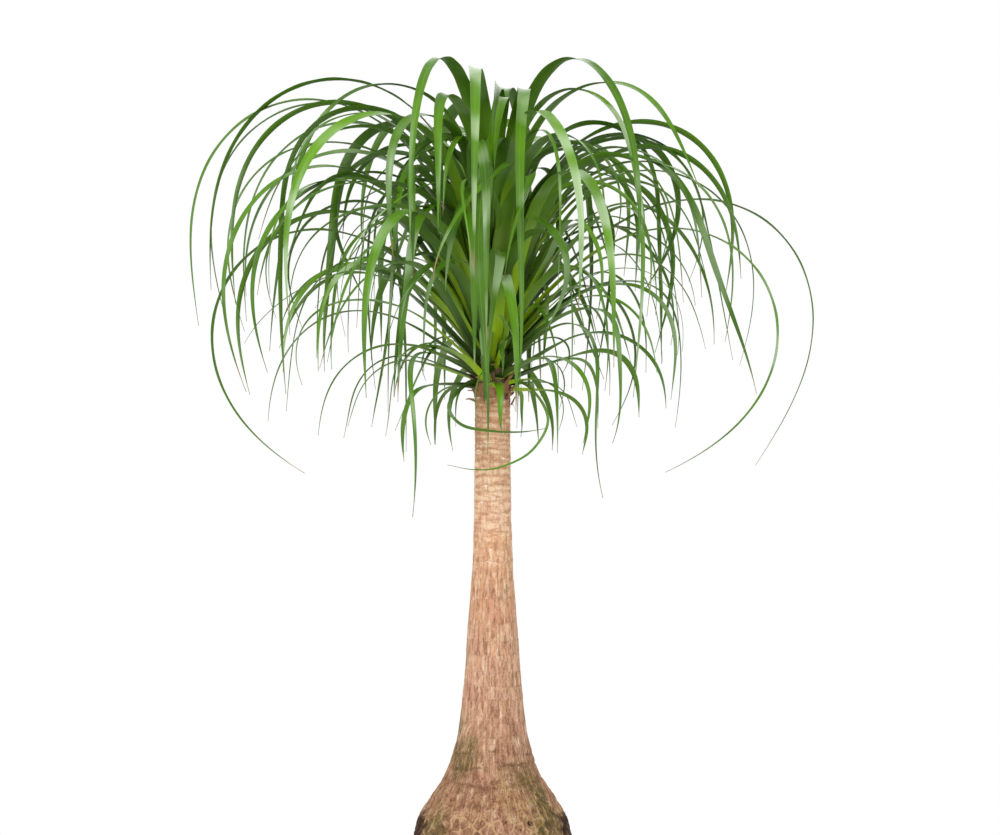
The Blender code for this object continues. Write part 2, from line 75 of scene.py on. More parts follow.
class Finish:
    def __init__(self, name, look=None, world=None):
        self.look = look
        self.material = world or bpy.data.materials.new(name)
        self.material.use_nodes = True
        self.tree = self.material.node_tree
        self.tree.nodes.clear()

    # every node comes from here: its settings first, then the values or links of its sockets
    def node(self, kind, settings=None, sockets=None, out=0):
        made = self.tree.nodes.new("ShaderNode" + kind)
        for key, value in (settings or {}).items():
            if key == "stops":
                stops = made.color_ramp.elements
                stops[0].position, stops[0].color = value[0]
                stops[-1].position, stops[-1].color = value[-1]
                for place, tint in value[1:-1]:
                    stops.new(place).color = tint
            else:
                setattr(made, key, value)
        for key, value in (sockets or {}).items():
            if isinstance(value, Wire):
                self.tree.links.new(value.socket, made.inputs[key])
            else:
                made.inputs[key].default_value = value
        return Wire(self, made.outputs[out]) if made.outputs else None

    def maths(self, operation, *values):
        return self.node("Math", {"operation": operation}, dict(enumerate(values)))

    def mix(self, share, first, second):
        settings = {"data_type": "RGBA", "clamp_factor": True}
        return self.node("Mix", settings, {0: share, 6: first, 7: second}, 2)

    def tint(self, name):
        return rgb(*self.look[name])

    # lays a tint over the colour so far, where the share says
    def paint(self, share, name):
        self.colour = self.mix(share, self.colour, self.tint(name))

    # tints laid in turn: tint, value, from where to where, then the shares that weaken it
    def stain(self, *rows):
        for name, value, low, high, *shares in rows:
            amount = self.ease(value, low, high)
            for share in shares:
                amount = amount * share
            self.paint(amount, name)

    # starts the colour from a ramp of tints
    def ramp(self, value, stops):
        stops = [(place, rgb(*shade)) for place, shade in stops]
        self.colour = self.node("ValToRGB", {"stops": stops}, {0: value})

    def attribute(self, name):
        return self.node("Attribute", {"attribute_name": name}, out=2)

    # 0 to 1 as the value goes from low to high, with eased ends
    def ease(self, value, low, high):
        settings = {"interpolation_type": "SMOOTHSTEP"}
        return self.node("MapRange", settings, {"Value": value, "From Min": low, "From Max": high})

    # cloudy grain in metres, stretched where stretch is under 1
    def grain(self, size, detail=3.0, stretch=(1, 1, 1), shift=0.0, place=None):
        place = place or self.node("TexCoord", out=3)
        moved = {0: place, 1: stretch, 2: (shift,) * 3}
        place = self.node("VectorMath", {"operation": "MULTIPLY_ADD"}, moved)
        sockets = {"Vector": place, "Scale": 1 / size, "Detail": detail, "Roughness": 0.6}
        return self.node("TexNoise", sockets=sockets)

    def surface(self, roughness, bump=None, strength=0.4, distance=0.001, specular=0.5):
        sockets = {"Base Color": self.colour, "Roughness": roughness, "Specular IOR Level": specular}
        if bump is not None:
            sockets["Normal"] = self.node(
                "Bump", sockets={"Height": bump, "Strength": strength, "Distance": distance})
        shader = self.node("BsdfPrincipled", sockets=sockets)
        self.node("OutputMaterial", sockets={"Surface": shader})
        return self.material


def rgb(r, g, b):
    return tuple(((c / 255 + 0.055) / 1.055) ** 2.4 for c in (r, g, b)) + (1.0,)


# mesh helpers
def smooth(x):
    x = np.clip(x, 0, 1)
    return x * x * (3 - 2 * x)


def fullTurn(count):
    return np.arange(count) * 2 * math.pi / count


def wrapped(angle):
    return (angle + math.pi) % (2 * math.pi) - math.pi


# points at a distance from the upright axis, a heading and a height
def around(reach, angle, z):
    return np.stack([reach * np.cos(angle), reach * np.sin(angle), z + 0 * angle], 1)


def unit(vectors):
    return vectors / np.linalg.norm(vectors, axis=1)[:, None]


def valueNoise(points, size, seed):
    # smooth random values from -1 to 1 over space, about one bump to each size
    cells = np.asarray(points, float) / size
    base = np.floor(cells).astype(np.int64)
    part = cells - base
    part = part * part * (3 - 2 * part)
    total = np.zeros(len(cells))
    for corner in np.ndindex(2, 2, 2):
        at = base + corner
        mixed = at[:, 0] * 73856093 ^ at[:, 1] * 19349663 ^ at[:, 2] * 83492791 ^ seed * 2654435761
        mixed = ((mixed ^ (mixed >> 13)) * 1274126177) & 0x7FFFFFFF
        weight = np.prod(np.where(corner, part, 1 - part), axis=1)
        total += weight * ((mixed >> 7) % 65536 / 32768 - 1)
    return total


def cloud(points, size, seed, octaves=3):
    return sum(valueNoise(points, size / 2 ** k, seed + k) / 2 ** k for k in range(octaves)) / 1.75


def meshPiece(name, points, faces, attributes, material, node, slot, creased=None):
    mesh = bpy.data.meshes.new(name)
    mesh.from_pydata([tuple(p) for p in points], [], faces)
    mesh.validate()
    for key, values in attributes.items():
        marks = mesh.attributes.new(key, "FLOAT", "POINT").data
        marks.foreach_set("value", np.asarray(values, np.float32))
    mesh.shade_smooth()
    if creased:
        # hard edges along chosen points of each ring, given as (ring size, places on the ring)
        ends = np.empty(len(mesh.edges) * 2, np.int64)
        mesh.edges.foreach_get("vertices", ends)
        low, high = ends.reshape(-1, 2).min(1), ends.reshape(-1, 2).max(1)
        hard = (high - low == creased[0]) & np.isin(low % creased[0], creased[1])
        mesh.attributes.new("sharp_edge", "BOOLEAN", "EDGE").data.foreach_set("value", hard)
    mesh.materials.append(material)
    piece = bpy.data.objects.new(name, mesh)
    bpy.context.scene.collection.objects.link(piece)
    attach(piece, "root")
    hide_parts(node)
    return piece


# many small shapes gathered into one mesh, each point with its marks
class Gathering:
    def __init__(self):
        self.points, self.faces, self.marks, self.size = [], [], {}, 0

    def add(self, points, faces, **marks):
        self.points.append(points)
        self.faces += [tuple(self.size + i for i in face) for face in faces]
        for key, value in marks.items():
            self.marks.setdefault(key, []).append(np.broadcast_to(value, len(points)))
        self.size += len(points)

    def piece(self, name, *finish):
        marks = {key: np.concatenate(values) for key, values in self.marks.items()}
        return meshPiece(name, np.vstack(self.points), self.faces, marks, *finish)


# quads between two closed rings of points, given by the first point of each
def bandFaces(low, high, count):
    return [(low + k, low + (k + 1) % count, high + (k + 1) % count, high + k) for k in range(count)]


# quads between many rings, ring after ring, with a face over each end
def tubeFaces(ringCount, count, start=0, caps=True):
    faces = []
    for low in range(start, start + (ringCount - 1) * count, count):
        faces += bandFaces(low, low + count, count)
    if caps:
        faces.append(tuple(range(start + count - 1, start - 1, -1)))
        faces.append(tuple(range(start + (ringCount - 1) * count, start + ringCount * count)))
    return faces


# trunk: the fine form of the foot's net, its ridges, and the bark of the stem
trunkForm = {
    "soilLine": soilBox[1][2], "underside": trunkBox[0][2], "ridgeHeight": 0.372,
    "footColumns": 480, "footRows": 98, "joint": 0.405, "stemRows": 280,
    "netDepth": 0.0034, "netPitch": 0.0112, "netColumns": 54, "lineWidth": 0.0022, "lineLift": 0.0013,
    "fanRidges": 47,
    "creases": ((0.402, 0.0018), (0.386, 0.0016), (0.364, 0.0014)),
    "outline": ((0.190, 0.0850), (0.232, 0.1035), (0.258, 0.1095), (0.288, 0.1065), (0.315, 0.0985),
                (0.342, 0.0825), (0.369, 0.0645), (0.396, 0.0540), (0.430, 0.0466), (0.500, 0.0388),
                (0.580, 0.0332), (0.660, 0.0274), (0.780, 0.0250), (0.885, 0.0243), (0.95, 0.0243)),
    # plates of bark: from where to where, then row height and plate width, each against height on the stem
    "plates": (0.385, 0.90),
    "plateTall": ((0.40, 0.60, 0.70, 0.78, 0.88), (0.022, 0.026, 0.014, 0.0085, 0.0070)),
    "plateWide": ((0.40, 0.60, 0.72, 0.88), (0.0060, 0.0064, 0.0105, 0.0150)),
    # growth and dirt on the foot: how strong, place, reach, seed and upward stretch of each patch
    "moss": (
        (0.8, (-0.042, -0.038, 0.395), 0.024, 81, 1.6), (0.6, (-0.048, -0.010, 0.43), 0.020, 82, 2.4),
        (1.4, (0.080, -0.056, 0.308), 0.040, 83, 1), (0.9, (0.060, -0.046, 0.348), 0.028, 84, 1.4),
        (0.5, (0.030, -0.050, 0.372), 0.020, 88, 1.2), (0.7, (0.06, 0.07, 0.33), 0.05, 85, 1),
        (0.9, (-0.080, -0.06, 0.305), 0.034, 86, 1), (0.6, (-0.05, 0.08, 0.31), 0.05, 87, 1),
    ),
    # dark crust patches, which feed the crust-and-shade mark
    "crust": (
        (1.1, (-0.062, -0.086, 0.282), 0.026, 93, 0.55), (0.8, (0.02, 0.105, 0.27), 0.03, 94, 1),
        (0.8, (-0.030, -0.103, 0.272), 0.018, 95, 0.5), (0.7, (0.086, -0.066, 0.272), 0.02, 96, 0.6),
    ),
    "hole": (0.0505, -0.0835, 0.3165), "holeReach": 0.0032, "holeDepth": 0.0012,
}


def outlineRadius(z):
    heights = np.array([p[0] for p in trunkForm["outline"]])
    radii = np.array([p[1] for p in trunkForm["outline"]])
    z = np.asarray(z, float)
    k = np.clip(np.searchsorted(heights, z) - 1, 1, len(heights) - 3)
    low = (radii[k + 1] - radii[k - 1]) / (heights[k + 1] - heights[k - 1])
    high = (radii[k + 2] - radii[k]) / (heights[k + 2] - heights[k])
    step = heights[k + 1] - heights[k]
    t = np.clip((z - heights[k]) / step, 0, 1)
    return (radii[k] * (1 + 2 * t) * (1 - t) ** 2 + radii[k + 1] * t * t * (3 - 2 * t)
            + step * (low * t * (1 - t) ** 2 - high * t * t * (1 - t)))


def levelsAlong(start, end, count):
    levels = np.linspace(start, end, 400)
    path = np.concatenate([[0], np.cumsum(np.hypot(np.diff(levels), np.diff(outlineRadius(levels))))])
    return np.interp(np.linspace(0, path[-1], count + 1), path, levels), path[-1]


def netCentres():
    # the middles of the net's cells, each with its depth
    rng = random.Random(11)
    start, end = trunkForm["soilLine"], trunkForm["ridgeHeight"]
    levels, _ = levelsAlong(start, end, round(levelsAlong(start, end, 1)[1] / trunkForm["netPitch"]))
    pitch = 2 * math.pi / trunkForm["netColumns"]
    centres = []
    for row, level in enumerate(levels):
        fade = float(smooth((level - start) / 0.012) * (1 - 0.5 * smooth((level - 0.33) / 0.04)))
        for k in range(trunkForm["netColumns"]):
            depth, rise, turn = rng.random(), rng.uniform(-1, 1), rng.uniform(-1, 1)
            if (k - row // 2 - row) % 3 == 0:
                angle = pitch * (k + 0.5 * (row % 2)) + 0.16 * fade * pitch * turn
                z = level + 0.16 * fade * 0.011 * rise
                centres.append((angle, z, trunkForm["netDepth"] * (0.7 + 0.4 * depth)))
    return centres


def unevenCells(cells):
    # the lattice nudged about, with a further small cell beside nearly half of its cells
    rng = random.Random(23)
    made = []
    for angle, z, depth in cells:
        made.append((angle + rng.uniform(-0.030, 0.030), z + rng.uniform(-0.0030, 0.0030), depth))
        if rng.random() < 0.40:
            turn = rng.uniform(0, 2 * math.pi)
            made.append((angle + 0.095 * math.cos(turn), z + 0.0095 * math.sin(turn), 0.4 * depth))
    return made


def fanMargin(place, angle, z, radius):
    # distance to the uneven ridges that run up from the net, doubled to match the net's margin
    rng = np.random.default_rng(31)
    count = trunkForm["fanRidges"]
    ridges = (np.arange(count) + rng.uniform(-0.32, 0.32, count)) * 2 * math.pi / count
    bent = (angle + 0.045 * cloud(place, 0.030, 33) + 0.014 * cloud(place, 0.008, 34)) % (2 * math.pi)
    right = np.searchsorted(ridges, bent) % count
    left = right - 1
    gaps = [np.abs(wrapped(bent - ridges[side])) for side in (left, right)]
    side = np.where(gaps[0] < gaps[1], left % count, right)
    ring = np.stack([side * 1.7, side * 0.3, z / 0.022], 1)
    fading = 0.0035 * smooth(-0.2 - 1.6 * valueNoise(ring, 1, 35))
    return 2 * np.minimum(*gaps) * radius + fading


def nearCells(points, centres):
    # index of the nearest centre, its distance, and how much further the next one is
    tree = KDTree(len(centres))
    for k, centre in enumerate(centres):
        tree.insert(centre, k)
    tree.balance()
    found = np.array([[hit[1] for hit in tree.find_n(p, 2)] + [hit[2] for hit in tree.find_n(p, 2)]
                      for p in points])
    return found[:, 0].astype(int), found[:, 2], found[:, 3] - found[:, 2]


def plateBark(angle, z, radius):
    # cracks between plates, rowed like rough brickwork: tall low down, low and wide at the top
    rng = np.random.default_rng(8)
    ring = around(1, angle, z)
    warpedZ = z + 0.0028 * cloud(ring * (1, 1, 18), 0.45, 3) + 0.0016 * np.sin(angle + 40 * z)
    warped = angle + 0.10 * cloud(ring * (1.6, 1.6, 60), 0.6, 5)
    crack, tone = np.zeros(len(z)), np.zeros(len(z))
    low, end = trunkForm["plates"]
    while low < end:
        tall = np.interp(low, *trunkForm["plateTall"])
        high = low + tall * rng.uniform(0.75, 1.3)
        inside = (warpedZ >= low) & (warpedZ < high)
        wide = np.interp(low, *trunkForm["plateWide"])
        count = max(6, round(2 * math.pi * float(outlineRadius(low)) / wide))
        uneven = np.arange(count) + rng.uniform(-0.34, 0.34, count)
        edges = np.sort(uneven * 2 * math.pi / count % (2 * math.pi))
        here = warped[inside] % (2 * math.pi)
        slot = np.searchsorted(edges, here) % count
        left, right = edges[slot - 1], edges[slot]
        gap = np.minimum((here - left) % (2 * math.pi), (right - here) % (2 * math.pi)) * radius[inside]
        depth = rng.uniform(0.1, 1.0, count) * np.interp(low, (0.5, 0.75), (1.0, 0.6))
        upright = (1 - smooth(gap / 0.0014)) * depth[slot]
        level = np.minimum(warpedZ[inside] - low, high - warpedZ[inside])
        thick = np.interp(low, (0.60, 0.75), (0.0014, 0.0026))
        flat = (1 - smooth(level / thick)) * np.interp(low, (0.40, 0.62, 0.75), (0.25, 0.35, 0.85))
        crack[inside] = np.maximum(upright, flat)
        tone[inside] = rng.uniform(-1, 1, count)[slot]
        low = high
    return crack, tone


def patches(kind, place, total=0):
    for share, middle, reach, seed, tall in trunkForm[kind]:
        distance = np.linalg.norm((place - middle) * (1, 1, 1 / tall), axis=1) / reach
        total = total + share * smooth(1.25 - distance + 0.55 * cloud(place, 0.02, seed))
    return total


def barkField(angle, z):
    # radius and finish masks of the trunk at each (angle, height)
    plain = outlineRadius(z)
    place = around(plain, angle, z)
    ring = around(1, angle, z)

    cells = unevenCells(netCentres())
    centres = [(float(outlineRadius(h)) * math.cos(a), float(outlineRadius(h)) * math.sin(a), h)
               for a, h, _ in cells]
    wander = 0.0026 * np.stack([cloud(place, 0.015, s) for s in (21, 31, 41)], 1)
    nearest, away, margin = nearCells(place + wander, centres)
    dips = np.array([d for _, _, d in cells])[nearest]
    over = z - trunkForm["soilLine"]
    netZone = (1 - smooth((z - 0.326 - 0.012 * cloud(place, 0.03, 51)) / 0.016)) * smooth(over / 0.010)
    wide = trunkForm["lineWidth"] * (1.5 + 0.9 * cloud(place, 0.012, 53))
    fanZone = smooth((z - 0.308) / 0.016) * (1 - smooth((z - 0.398) / 0.05))
    ridge = fanMargin(place, angle, z, plain)
    margin = np.minimum(margin + 0.012 * (1 - netZone), ridge + 0.012 * (1 - fanZone) ** 2)
    line = 1 - smooth(margin / wide)
    dip = dips * (1 - smooth((away - 0.002) / 0.0075)) * (0.35 * smooth(over / 0.012) + 0.65 * netZone)
    dip *= 1 - smooth((z - 0.352) / 0.02)

    fibre = valueNoise(ring * (34, 34, 130), 1, 63) + 0.6 * cloud(place, 0.0035, 64, 2)
    crack, tone = plateBark(angle, z, plain)
    barkZone = smooth((z - 0.378) / 0.03)
    crack, tone = crack * barkZone, tone * barkZone

    crease = np.zeros(len(z))
    for height, depth in trunkForm["creases"]:
        bowed = height + 0.0035 * np.sin(2 * angle + 90 * height)
        bowed = bowed + 0.003 * cloud(ring, 0.35, int(height * 1000))
        broken = smooth(0.75 + 1.3 * cloud(ring * (1, 1, 20), 0.35, int(height * 2000)))
        soft = 0.0026 * (1 + 0.8 * cloud(place, 0.012, int(height * 3000)))
        crease = np.maximum(crease, (1 - smooth(np.abs(z - bowed) / soft)) * broken * depth / 0.0016)

    radius = plain - dip + line * trunkForm["lineLift"] * (0.8 + 0.4 * cloud(place, 0.02, 71))
    radius -= 0.0015 * crease
    radius += 0.00028 * fibre * (1 - 0.4 * barkZone)
    radius += barkZone * (-0.0009 * crack + 0.00035 * tone - 0.0004) + 0.0005 * cloud(place, 0.02, 72)
    masks = {
        "crack": np.maximum(crack, 0.85 * crease), "plateTone": 0.5 + 0.5 * tone,
        "margin": margin * 1000, "hollow": np.clip(dip / 0.003, 0, 1),
        "flowX": (0.5 * plain + 0.0175) * np.cos(angle), "flowY": (0.5 * plain + 0.0175) * np.sin(angle),
        "fibre": 0.5 + 0.4 * fibre,
    }

    masks["moss"] = np.clip(patches("moss", place), 0, 1)
    # crust mark: dark crust in patches and a dark band just above the soil, with painted shade down both
    # sides of the foot, thinned behind, and in the hole
    behind = smooth((np.sin(angle) + 0.05) / 0.35)
    sideShadeThinnedBehind = 1 - behind * (1 - 0.75 * smooth(0.25 + 2.2 * cloud(place, 0.024, 98)))
    # painted shade down both sides of the foot, as seen from the front
    sides = 1.2 * sideShadeThinnedBehind * smooth((np.abs(np.cos(angle)) - 0.80) / 0.19) * (1 - smooth((z - 0.300) / 0.045))
    low = 1.1 * (1 - smooth((z - 0.240) / 0.030 + 0.5 * cloud(place, 0.02, 97)))
    crust = np.clip(patches("crust", place, sides) + low, 0, 1)
    # painted shade in the hole, which is dented a little
    hole = smooth(1.6 - np.linalg.norm(place - trunkForm["hole"], axis=1) / trunkForm["holeReach"])
    masks["crust"] = np.maximum(crust, hole)
    radius -= trunkForm["holeDepth"] * hole
    return radius, masks


barkLook = {
    "byHeight": ((0.0, (112, 84, 58)), (0.08, (142, 106, 76)), (0.14, (168, 127, 94)), (0.20, (162, 121, 92)),
                 (0.27, (172, 130, 102)), (0.34, (190, 144, 116)), (0.47, (202, 156, 126)),
                 (0.58, (206, 154, 119)), (0.68, (220, 170, 133)), (0.78, (232, 192, 158)),
                 (0.90, (226, 184, 149)), (0.97, (206, 160, 124)), (1.0, (160, 114, 82))),
    # hollow serves brown mottle on the foot and painted shade in the net's hollows
    "crack": (100, 66, 46), "ring": (176, 122, 86), "netLine": (196, 162, 122), "hollow": (122, 80, 60),
    "pink": (196, 138, 116), "ochre": (172, 142, 82), "cream": (240, 212, 180), "fissure": (116, 76, 54),
    # crust is near-black, for dark crust patches and for painted shade down the foot's sides and in the hole
    "pit": (74, 48, 34), "moss": (96, 93, 32), "damp": (66, 52, 26), "crust": (44, 28, 16),
    "white": (248, 232, 214), "roughness": 0.82,
}


def barkMaterial():
    f = Finish("corkyBark", barkLook)
    height, tone = f.attribute("level"), f.attribute("plateTone")
    f.ramp(height, barkLook["byHeight"])
    rise = f.node("SeparateXYZ", sockets={0: f.node("TexCoord", out=3)}, out=2)
    flow = f.node("CombineXYZ", sockets={0: f.attribute("flowX"), 1: f.attribute("flowY"), 2: rise})
    foot, upper = f.ease(height, 0.30, 0.22), f.ease(height, 0.55, 0.75)
    # broad tints, then blotches, short dark fissures and bands that follow the grain
    broad = f.grain(0.030, 3.0, (1, 1, 0.7), 4.0, flow)
    blotches = f.grain(0.0085, 3.0, (1, 1, 0.30), 9.0, flow)
    fibres = f.grain(0.0046, 6.0, (1, 1, 0.22), 0.0, flow)
    mottle = f.grain(0.0062, 5.0, (1, 1, 0.5), 41.0, flow)
    bands = f.grain(0.020, 3.0, (1, 1, 3.4), 5.0, flow)
    f.stain(
        ("pink", broad, 0.52, 0.66, 0.45), ("ochre", broad, 0.47, 0.34, 0.15 + 0.40 * foot),
        ("cream", tone, 0.55, 1.0, 0.28), ("ring", tone, 0.42, 0.0, 0.25),
        ("cream", blotches, 0.54, 0.68, 0.60 - 0.2 * foot),
        ("fissure", fibres, 0.49, 0.36, 0.65 + 0.25 * foot - 0.30 * upper),
        ("cream", fibres, 0.56, 0.68, 0.45),
        ("hollow", mottle, 0.50, 0.38, foot, 0.75), ("netLine", mottle, 0.55, 0.66, foot, 0.40),
        ("cream", bands, 0.52, 0.64, upper, 0.60), ("ring", bands, 0.48, 0.38, upper, 0.60))
    # the foot's net and ridges, the dark beside them, and painted shade in the net's hollows
    wobble = f.grain(0.0035, 3.0, shift=15.0)
    margin = f.attribute("margin") + 4.0 * (wobble - 0.5)
    # painted shade: darker where the net's cells dip
    f.paint(f.attribute("hollow") * f.ease(wobble, 0.35, 0.6) * 0.55, "hollow")
    pits = f.grain(0.0050, 2.0, shift=31.0)
    f.stain(("hollow", margin, 6.0, 3.0, foot, 0.45), ("pit", pits, 0.365, 0.31, foot, 0.9))
    lines = f.ease(margin, 3.4, 1.4) * f.ease(mottle, 0.32, 0.54)
    f.paint(lines * (0.50 + 0.26 * f.ease(height, 0.17, 0.13)), "netLine")
    cracks = f.attribute("crack") * f.ease(mottle, 0.72, 0.50)
    f.paint(cracks * (1 - upper) * 0.90, "crack")
    f.paint(f.attribute("crack") * upper * 0.70, "ring")
    specks = f.grain(0.012, 2.0, (1, 1, 2.0), 12.0)
    f.stain(("white", specks, 0.67, 0.70, f.ease(height, 0.3, 0.7), 0.35 + 0.4 * upper))
    # growth and dirt, then dark crust that also carries painted shade
    moss = f.attribute("moss") * f.ease(f.grain(0.009, 5.0, (1, 1, 0.6), 2.0, flow), 0.34, 0.52)
    f.paint(moss * (0.72 - 0.40 * lines), "moss")
    damp = f.attribute("moss") * f.ease(f.grain(0.006, 4.0, (1, 1, 0.4), 22.0, flow), 0.52, 0.42)
    f.paint(damp * 0.75, "damp")
    rough = f.grain(0.010, 6.0, shift=6.0)
    # the crust mark: dark crust patches and a dark band above the soil, plus painted shade down both sides of
    # the foot and in the hole
    crust = f.ease(f.attribute("crust") + 2.0 * (rough - 0.5), 0.25, 0.95)
    f.paint(crust * (0.96 - 0.3 * f.ease(fibres, 0.5, 0.64)), "crust")
    fine = f.grain(0.0015, 3.0, (1, 1, 0.6), 9.0)
    f.stain(("fissure", fine, 0.48, 0.34, 0.30), ("cream", fine, 0.55, 0.68, 0.22, 1 - crust))
    bump = fibres * (0.5 + 0.5 * (1 - foot)) + 0.35 * fine + 0.25 * f.attribute("fibre") + 0.15 * lines
    return f.surface(barkLook["roughness"] + 0.12 * broad, bump, 0.55, 0.0014, 0.25)


def buildTrunk():
    start, top = trunkForm["soilLine"], stemTop
    footColumns, stemColumns = trunkForm["footColumns"], trunkForm["footColumns"] // 3
    footLevels, _ = levelsAlong(start, trunkForm["joint"], trunkForm["footRows"] - 1)
    stemLevels, _ = levelsAlong(trunkForm["joint"], top - 0.0005, trunkForm["stemRows"])
    stemLevels = stemLevels[1:]
    angles, heights = [], []
    for levels, columns in ((footLevels, footColumns), (stemLevels, stemColumns)):
        turn = fullTurn(columns)
        angles.append(np.tile(turn, len(levels)))
        heights.append(np.repeat(levels, columns))
    angle, z = np.concatenate(angles), np.concatenate(heights)
    radius, masks = barkField(angle, z)
    points = around(radius, angle, z)
    masks["level"] = (z - start) / (top - start)

    faces = tubeFaces(len(footLevels), footColumns, 0, False)
    first = len(footLevels) * footColumns
    faces += tubeFaces(len(stemLevels), stemColumns, first, False)
    last = first - footColumns
    for j in range(stemColumns):
        a, b, c, d = (last + (3 * j + i) % footColumns for i in range(4))
        s, t = first + j, first + (j + 1) % stemColumns
        faces += [(a, b, s), (b, t, s), (b, c, t), (c, d, t)]
    faces.append(tuple(range(len(points) - stemColumns, len(points))))
    # the buried underside, in plain rings and a closing face
    buried = []
    for turns in (0.22, 0.44, 0.66, 0.88):
        reach = float(outlineRadius(start)) * math.cos(turns * math.pi / 2)
        level = start - (start - trunkForm["underside"]) * math.sin(turns * math.pi / 2)
        buried.append(around(reach, fullTurn(footColumns), level))
    extra = len(points)
    points = np.vstack([points] + buried)
    ringStarts = [0] + [extra + k * footColumns for k in range(len(buried))]
    for upper, lower in zip(ringStarts, ringStarts[1:]):
        faces += bandFaces(lower, upper, footColumns)
    faces.append(tuple(range(len(points) - 1, len(points) - footColumns - 1, -1)))
    hidden = len(buried) * footColumns
    masks = {key: np.concatenate([values, np.full(hidden, float(key == "crust"))])
             for key, values in masks.items()}
    return meshPiece("trunkBark", points, faces, masks, barkMaterial(), "trunk", "bark")


buildTrunk()
print("trunk built")


# leaves: the crown's own rule, drawn finely
crownForm = {
    "goldenAngle": math.radians(137.508), "count": 84, "ribbons": 26, "fill": 62, "seed": 126,
    "base": round(stemTop + 0.008, 4), "top": round(stemTop + 0.130, 4),
    "highest": round(crownBox[1][2] + 0.0026, 4),
    "launch": ((0, -2), (0.08, 18), (0.25, 44), (0.5, 61), (0.75, 74), (0.92, 82), (1, 88)),
    "length": ((0, 0.186), (0.1, 0.298), (0.25, 0.409), (0.5, 0.521), (0.75, 0.577), (0.92, 0.558),
               (1, 0.428)),
    # long leaves: height in the crown, azimuth, launch, length, curl, evenness, sway, sway of the tip,
    # width, lowest reach
    "long": (
        (0.45, 178, 58, 0.74, 60, 0.45, 6, 0, 0.014, 0.7), (0.8, 184, 76, 0.8, 10, 0.3, -8, 0, 0.018, 0.7),
        (0.84, 172, 80, 0.78, 16, 0.35, 8, 20, 0.017, 0.7), (0.9, 168, 84, 0.8, 6, 0.3, 14, 0, 0.016, 0.7),
        (0.7, 196, 68, 0.7, 25, 0.4, 4, 0, 0.016, 0.7), (0.88, 178, 80, 0.72, 8, 0.28, 6, 0, 0.019, 0.82),
        (0.76, 190, 74, 0.68, 14, 0.3, -10, 10, 0.018, 0.8),
        (0.82, 160, 78, 0.7, 10, 0.25, 12, 0, 0.018, 0.84),
        (0.66, 204, 68, 0.62, 20, 0.3, -6, 0, 0.017, 0.8), (0.58, 170, 60, 0.6, 16, 0.3, 8, 0, 0.017, 0.82),
        (0.62, 3, 52, 0.8, 36, 0.32, -5, 20, 0.017, 0.7), (0.5, -8, 56, 0.76, 66, 0.45, 6, 0, 0.015, 0.7),
        (0.75, 12, 70, 0.66, 18, 0.4, -6, 0, 0.016, 0.7), (0.86, 4, 80, 0.66, 8, 0.3, 6, 0, 0.018, 0.84),
        (0.72, -16, 72, 0.62, 12, 0.3, -8, 10, 0.018, 0.8),
        (0.6, -100, 68, 0.68, 6, 0.2, 10, 0, 0.021, 0.8),
        (0.78, -88, 78, 0.76, 2, 0.15, -12, 0, 0.023, 0.79),
        (0.66, -76, 72, 0.72, 4, 0.2, 8, 0, 0.022, 0.83), (0.5, -64, 62, 0.66, 2, 0.2, -8, 0, 0.021, 0.76),
        (0.84, -68, 80, 0.78, 0, 0.2, 10, 0, 0.022, 0.84), (0.42, -112, 56, 0.6, 6, 0.2, -6, 0, 0.02, 0.8),
        (0.3, -86, 48, 0.44, 4, 0.2, 6, 0, 0.02, 0.74), (0.7, -124, 74, 0.72, 6, 0.2, -8, 0, 0.022, 0.78),
        (0.9, -112, 84, 0.8, 0, 0.15, 8, 0, 0.023, 0.86),
        (0.2, -50, 36, 0.46, 20, 0.5, -30, -170, 0.01, 0.7),
        (0.12, -128, 24, 0.42, 12, 0.5, 34, 165, 0.009, 0.72),
    ),
    # thin leaves that loop across the stem: the places each passes through, and its width
    "wisps": (
        (((-0.012, -0.012, 0.905), (-0.040, -0.034, 0.893), (-0.058, -0.054, 0.866), (-0.040, -0.066, 0.842),
          (0.0, -0.070, 0.834), (0.040, -0.066, 0.833), (0.074, -0.058, 0.838)), 0.0056),
        (((0.012, -0.012, 0.908), (0.050, -0.034, 0.892), (0.074, -0.050, 0.850), (0.052, -0.062, 0.808),
          (0.010, -0.066, 0.786), (-0.026, -0.062, 0.783), (-0.060, -0.054, 0.789)), 0.0042),
    ),
    # one ring of a strap leaf: place across it, and 1 along the underside
    "ring": ((-1, 0), (-0.55, 1), (0, 1), (0.55, 1), (1, 0), (0.55, 0), (0, 0), (-0.55, 0)),
    "steps": 84, "midrib": 0.0009, "flare": 0.45, "ripple": 0.0007,
}


def swing(rng, low, high, mode=0):
    return math.radians(rng.triangular(low, high, mode))


def byHeight(key, t):
    return float(np.interp(t, *zip(*crownForm[key])))


def spiralLeaf(rng, t, azimuth):
    return {
        "height": t,
        "azimuth": azimuth + rng.uniform(-0.08, 0.08),
        "launch": math.radians(byHeight("launch", t) + rng.triangular(-10, 10, 0)),
        "length": byHeight("length", t) * rng.uniform(0.78, 1.12),
        "curl": swing(rng, -34, 40, 3),
        "start": rng.uniform(0.15, 0.31),
        "stop": rng.uniform(0.86, 1.06),
        "even": rng.uniform(0.08, 0.38),
        "sway": swing(rng, -34, 34),
        "tipSway": swing(rng, -100, 100),
        "twist": swing(rng, -150, 150) * 0.6,
        "width": rng.uniform(0.0145, 0.0205) * (0.8 + 0.35 * float(smooth(1.3 * t))),
        "lowest": max(rng.gauss(0.825, 0.045), 0.72),
        "wander": swing(rng, -40, 40), "phase": rng.uniform(0, 6.28),
    }


